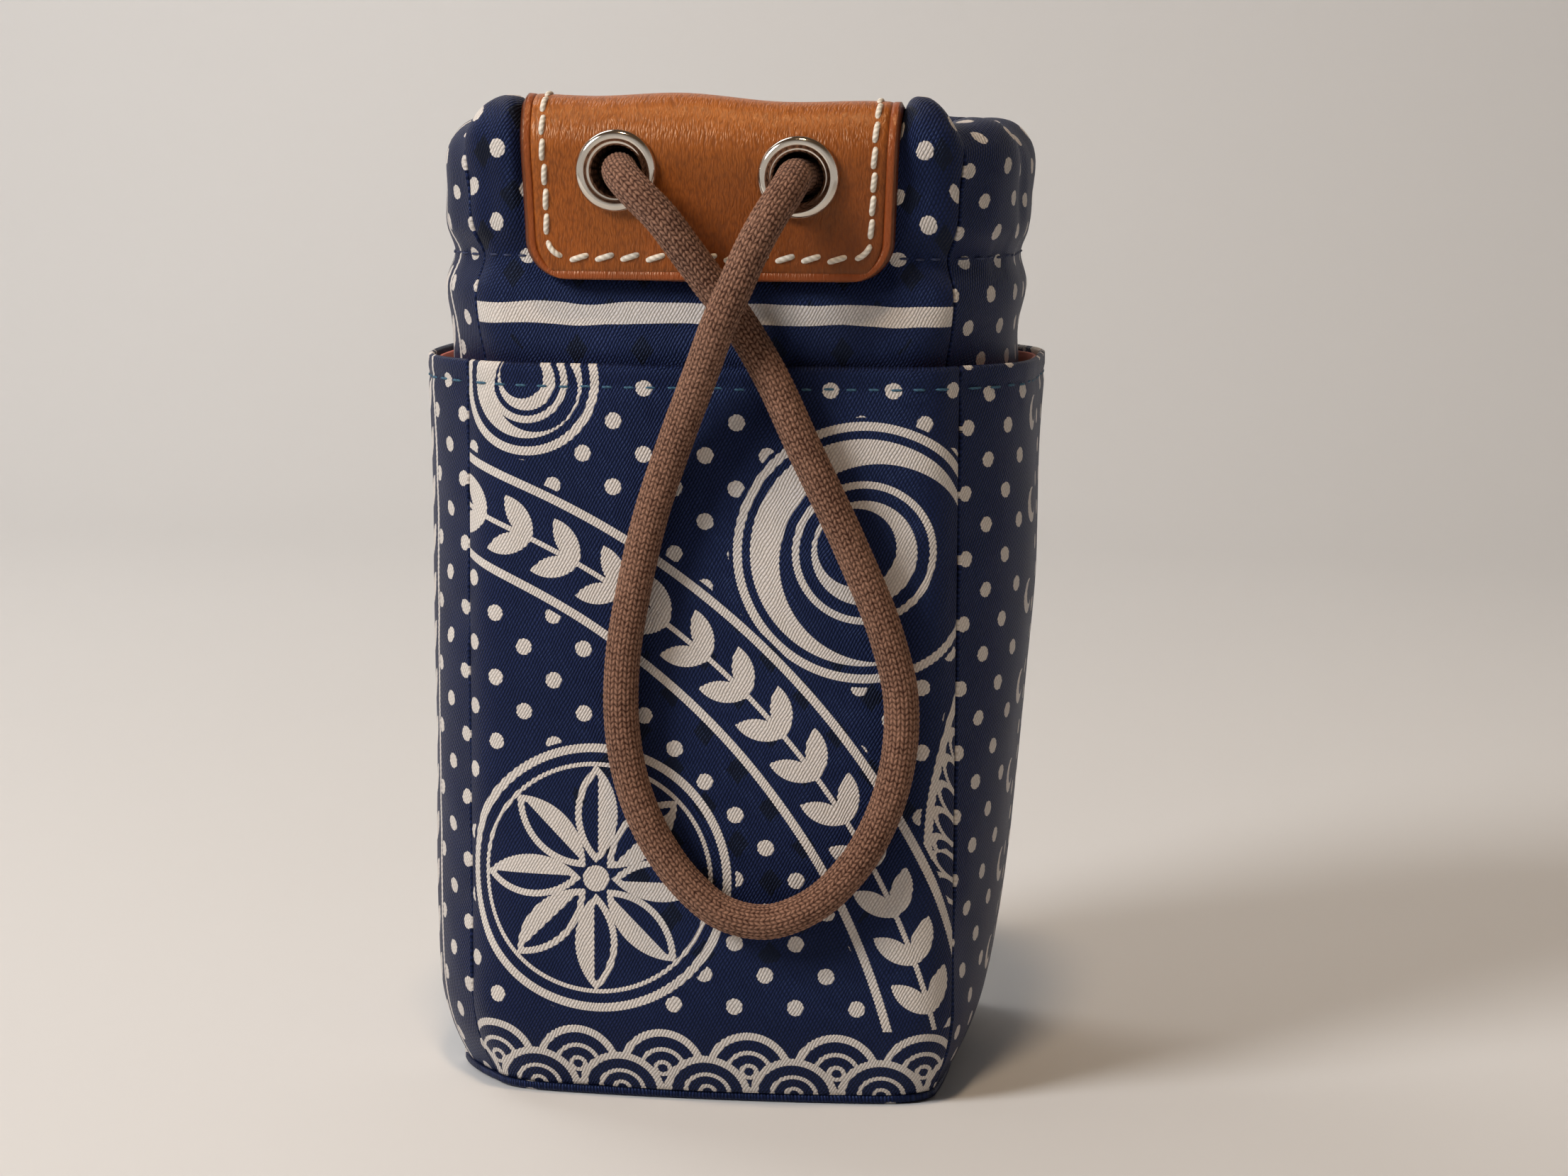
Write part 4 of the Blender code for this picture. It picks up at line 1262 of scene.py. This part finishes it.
def stitches(name, paths, radius, material, sides=8):
    """One mesh of short stitches; each path is points on the surface with its outward direction."""
    points, faces, marks = [], [], []
    for centre, out in paths:
        centre, out = np.asarray(centre, float), np.asarray(out, float)
        share = np.linspace(0, 1, len(centre))
        arch = np.sin(math.pi * share) ** 0.6
        centre = centre + out * (radius * (1.15 * arch - 0.85))[:, None]
        tangent = np.gradient(centre, axis=0)
        tangent /= np.linalg.norm(tangent, axis=1, keepdims=True)
        across = np.cross(tangent, out)
        across /= np.linalg.norm(across, axis=1, keepdims=True)
        up = np.cross(across, tangent)
        size = radius * np.sqrt(np.clip(1 - (2 * share - 1) ** 6, 0.08, 1.0))
        angle = np.linspace(0, 2 * math.pi, sides, endpoint=False)
        spread = np.cos(angle)[:, None] * across[:, None] + 0.82 * np.sin(angle)[:, None] * up[:, None]
        first = sum(len(p) for p in points)
        points.append((centre[:, None] + spread * size[:, None, None]).reshape(-1, 3))
        faces += grid_faces(len(centre), sides, first, wrap=True)
        faces.append(tuple(first + j for j in reversed(range(sides))))
        faces.append(tuple(first + (len(centre) - 1) * sides + j for j in range(sides)))
        mark = np.zeros((len(centre), sides, 3))
        mark[..., 0] = angle
        mark[..., 1] = steps(centre[None], 1)[0][:, None] / MM
        marks.append(mark.reshape(-1, 3))
    obj = mesh_object(name, np.concatenate(points), faces, material)
    add_attribute(obj, "cloth", np.concatenate(marks))
    return obj


SADDLE_INSET, SADDLE_BOTTOM, SADDLE_PITCH, SADDLE_SLANT = 0.0025, 0.0028, 0.0031, 0.0010
SADDLE_THREAD, WALL_THREAD = 0.00037, 0.00016
# Pitch of the stitches along a wall, and the share of it that shows
HEM_STITCH, SEAM_STITCH = (0.0030, 0.62), (0.0028, 0.66)


def saddle_paths(tab):
    """Saddle stitches round the tab: up both sides, over the fold, and along both ends."""
    paths = []

    def add(length, across):
        step = 0.0004
        along = tab.point(length + step, across) - tab.point(length - step, across)
        side = tab.point(length, across + step) - tab.point(length, across - step)
        out = np.cross(side, along)
        out /= np.linalg.norm(out, axis=-1, keepdims=True)
        paths.append((tab.point(length, across) + out * LEATHER / 2, out))

    start, end = SADDLE_BOTTOM, tab.total - SADDLE_BOTTOM
    corner = TAB_CORNER - SADDLE_INSET
    runs = round((end - start - 2 * corner) / SADDLE_PITCH)
    lengths = np.linspace(start + corner, end - corner, runs + 1)
    share, dash = np.linspace(0.0, 0.97, 9), np.linspace(0.08, 0.90, 9)
    rng = np.random.default_rng(11)
    for sign in (-1, 1):
        for low, high in zip(lengths, lengths[1:]):
            span = low + (high - low) * share
            half = tab_half_width(np.minimum(span, tab.total - span), tab.total) - SADDLE_INSET
            add(span, sign * half + rng.normal(0, 0.00006) + 0.00024 * (share - 0.5))
    half = tab_half_width(np.array([start + corner]), tab.total)[0] - SADDLE_INSET
    straight = half - corner
    edges = np.linspace(-straight, straight, round(2 * straight / SADDLE_PITCH) + 1)
    for place, direction in ((start, 1), (end, -1)):
        for low, high in zip(edges, edges[1:]):
            slant = direction * SADDLE_SLANT * (dash - 0.5)
            add(place + slant + rng.normal(0, 0.00005), low + (high - low) * dash)
        for sign in (-1, 1):
            turn = np.linspace(0.08, 0.92, 7) * math.pi / 2
            add(place + direction * corner * (1 - np.cos(turn)), sign * (straight + corner * np.sin(turn)))
    return paths


def wall_stitches(side, inset, z, pitch, share, relief):
    """Short stitches along a wall at one height."""
    half = seam_half(side)
    edges = np.linspace(-0.975, 0.975, round(2 * half * 1.06 / pitch) + 1)
    rng = np.random.default_rng(17 + SIDES.index(side))
    paths = []
    for low, high in zip(edges, edges[1:]):
        t = low + (high - low) * np.linspace(0.5 - share / 2, 0.5 + share / 2, 6)
        lift = z + rng.normal(0, 0.00005)
        here = wall(side, t, inset, lift, relief(side, t, np.full_like(t, lift)))
        flat = wall(side, t + 0.002, inset, lift, 0) - wall(side, t - 0.002, inset, lift, 0)
        out = np.cross(flat, (0.0, 0.0, 1.0))
        paths.append((here, out / np.linalg.norm(out, axis=-1, keepdims=True)))
    return paths


# Cord


def braid(angle, length):
    """Rounded picks in columns along the cord, slanting to alternate sides like rows of Vs."""
    place = angle / (2 * math.pi) * BRAID_COLUMNS
    column = np.floor(place)
    across = place - column - 0.5
    way = np.where(column % 2 == 0, 1.0, -1.0)
    along = length / BRAID_PICK + way * across * BRAID_SLANT
    pick = along - np.floor(along) - 0.5
    return BRAID_RELIEF * ((1 - PICK_ACROSS * across**2) * (1 - PICK_ALONG * pick**2) - 0.55)
SIDE_STOPS = np.array([-0.8, -0.4, 0.0, 0.4, 0.8])
BACK_STOPS = np.array([-0.95, -0.5, 0.0, 0.5, 0.95])


def hidden_route():
    """Round the mouth inside the casing, from the right eyelet to the left one."""
    end = [
        (0.01142, -0.0271, 0.0),
        (0.0118, -0.0257, 0.0),
        (0.0130, -0.0240, 0.0),
        (0.0148, -0.0228, -0.0001),
        (0.0174, -0.0225, -0.0003),
        (0.0228, -0.0233, -0.0004),
        (0.0280, -0.0220, -0.0005),
    ]
    share = EYELET_RISE / (FRONT_CREST - CASING_SEAM)
    route = [(x, y, eyelet_z(EYELET_X) + rise) for x, y, rise in end]
    for side, t in (("right", SIDE_STOPS), ("back", BACK_STOPS), ("left", SIDE_STOPS)):
        z = CASING_SEAM + share * (float(crest(side, 0.0)) - CASING_SEAM)
        route += [tuple(point) for point in wall(side, t, (FULL_INSET + inner_inset(t)) / 2, z)]
    return route + [(-x, y, eyelet_z(-EYELET_X) + rise) for x, y, rise in reversed(end)]


# Scene


def add_camera():
    yaw, pitch, roll = (math.radians(a) for a in (YAW, PITCH, ROLL))
    forward = Vector((-math.sin(yaw) * math.cos(pitch), math.cos(yaw) * math.cos(pitch), -math.sin(pitch)))
    right = Vector((math.cos(yaw), math.sin(yaw), 0.0))
    up = right.cross(forward)
    right, up = right * math.cos(roll) + up * math.sin(roll), up * math.cos(roll) - right * math.sin(roll)
    camera = bpy.data.objects.new("Camera", bpy.data.cameras.new("Camera"))
    bpy.context.scene.collection.objects.link(camera)
    camera.matrix_world = Matrix((right, up, -forward)).transposed().to_4x4()
    camera.location = TARGET - forward * DISTANCE
    camera.data.lens, camera.data.sensor_width = LENS, SENSOR
    camera.data.clip_start = 0.01
    bpy.context.scene.camera = camera


def add_lamp(name, place, target, size, energy, colour):
    lamp = bpy.data.lights.new(name, "AREA")
    lamp.shape, lamp.size, lamp.energy, lamp.color = "DISK", size, energy, colour
    obj = bpy.data.objects.new(name, lamp)
    bpy.context.scene.collection.objects.link(obj)
    obj.location = place
    obj.rotation_euler = (Vector(target) - Vector(place)).to_track_quat("-Z", "Y").to_euler()


FLOOR_REACH, BACKDROP_AT, BACKDROP_TOP, BACKDROP_ROUND = 2.4, 0.55, 1.3, 0.30

# Name, place, target, size, watts and colour
LAMPS = (
    ("Window lamp", (-0.62, -0.55, 0.62), (0.0, 0.0, 0.24), 0.34, 7.7, (1.0, 0.98, 0.96)),
    ("Ceiling lamp", (0.02, -0.30, 0.98), (0.0, 0.05, 0.05), 0.12, 2.9, (1.0, 0.74, 0.50)),
    ("Back lamp", (-0.45, 0.35, 0.80), (-0.2, 0.75, 0.20), 0.50, 2.7, (1.0, 0.97, 0.94)),
)


def add_floor():
    """Pale floor that curves up into a backdrop."""
    profile = [(y, 0.0) for y in (-FLOOR_REACH, -1.0, -0.5, 0.0, BACKDROP_AT)]
    for angle in np.linspace(0, math.pi / 2, 13)[1:]:
        rise = BACKDROP_ROUND * (1 - math.cos(angle))
        profile.append((BACKDROP_AT + BACKDROP_ROUND * math.sin(angle), rise))
    profile.append((BACKDROP_AT + BACKDROP_ROUND, BACKDROP_TOP))
    x = np.linspace(-FLOOR_REACH, FLOOR_REACH, 9)
    rows = [np.stack([x, np.full_like(x, y), np.full_like(x, z)], axis=-1) for y, z in profile]
    floor = mesh_object("floor", np.stack(rows), grid_faces(len(rows), len(x)), floor_material())


def add_world():
    """A world that is pale behind and to the left, and darker to the right and at the front."""
    world = bpy.data.worlds.new("World")
    bpy.context.scene.world = world
    world.use_nodes = True
    tree = world.node_tree
    to_right, to_back, up = split(tree, tree.nodes.new("ShaderNodeTexCoord").outputs["Generated"])
    share = (to_back * 1.1 - to_right * 0.45).op("ADD", 0.55, clamp=True)
    round_about = mix_colour(tree, share, (0.045, 0.035, 0.027), (0.270, 0.256, 0.242))
    # What is seen of it is as pale as the floor near the horizon, under a dim warm ceiling
    seen = mix_colour(tree, up.op("MULTIPLY_ADD", 1.8, -0.35, clamp=True), BACKDROP, CEILING)
    colour = mix_colour(tree, background_ray(tree), round_about, seen)
    connect(tree, colour, tree.nodes["Background"].inputs["Color"])


def clear_scene():
    for obj in list(bpy.data.objects):
        bpy.data.objects.remove(obj, do_unlink=True)


def main():
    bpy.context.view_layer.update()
    scene = bpy.context.scene
    scene.view_settings.view_transform = "Standard"
    add_camera()
    add_floor()
    for lamp in LAMPS:
        add_lamp(*lamp)
    add_world()

    lining, leather, metal, cotton = lining_material(), leather_material(), metal_material(), cord_material()
    prints = {
        "front": (print_front, print_upper_front),
        "right": (print_side, print_upper_side),
        "back": (print_back, print_upper_front),
        "left": (print_side, print_upper_side),
    }
    for side, (draw, draw_upper) in prints.items():
        sleeve_cloth = twill_material(f"Printed twill {side}", draw)
        add_wall(side, sleeve_cloth, twill_material(f"Printed twill upper {side}", draw_upper), lining)

    base_cloth = twill_material("Printed twill base", lambda paper: (dots(paper), None))
    base_plate("base_cloth", "base_panel", 0.0, 0.0, BASE_THICKNESS, 0.00030, base_cloth)
    inset = BODY_LINING_INSET + LINING / 2 + LAYER_GAP
    base_plate("base_lining_cloth", "base_lining", inset,
               WALL_FLOOR, WALL_FLOOR + LINING, 0.00008, lining)

    tab = Tab()
    tab.build(leather)
    leather_y = float(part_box("eyelet_left")[0].y) + EYELET_SEAT + EYELET_HEIGHT
    add_eyelets(metal, leather_y)
    cream = thread_material("Cream waxed thread", (0.52, 0.46, 0.37), (0.88, 0.82, 0.72), 0.5)
    dress(stitches("saddle_stitches", saddle_paths(tab), SADDLE_THREAD, cream), None)

    teal = thread_material("Blue hem thread", (0.012, 0.050, 0.095), (0.045, 0.150, 0.240))
    navy = thread_material("Navy seam thread", (0.008, 0.012, 0.040), (0.030, 0.045, 0.120))
    hem, seam = [], []
    for side in SIDES:
        hem += wall_stitches(side, 0.0, POCKET_TOP - HEM_DEPTH, *HEM_STITCH, sleeve_relief)
        seam += wall_stitches(side, NECK_INSET + PINCH - CLOTH / 2, CASING_SEAM, *SEAM_STITCH,
                              lambda s, t, z: casing_relief(s, t, np.full_like(t, NECK_INSET), z))
    for name, paths, thread in (("hem_stitches", hem, teal), ("casing_stitches", seam, navy)):
        dress(stitches(name, paths, WALL_THREAD, thread), None)

    route = spline(LOOP_ROUTE, 0.00023)
    loop = tube("drawstring_loop_braided", route, CORD / 2, 84, cotton, braid)
    dress(loop, "drawstring_loop")
    hidden = tube("drawstring_in_casing_braided", spline(hidden_route(), 0.0012), CORD / 2, 24, cotton)
    dress(hidden, "drawstring_in_casing")

    bpy.context.view_layer.update()


clear_scene()
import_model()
main()
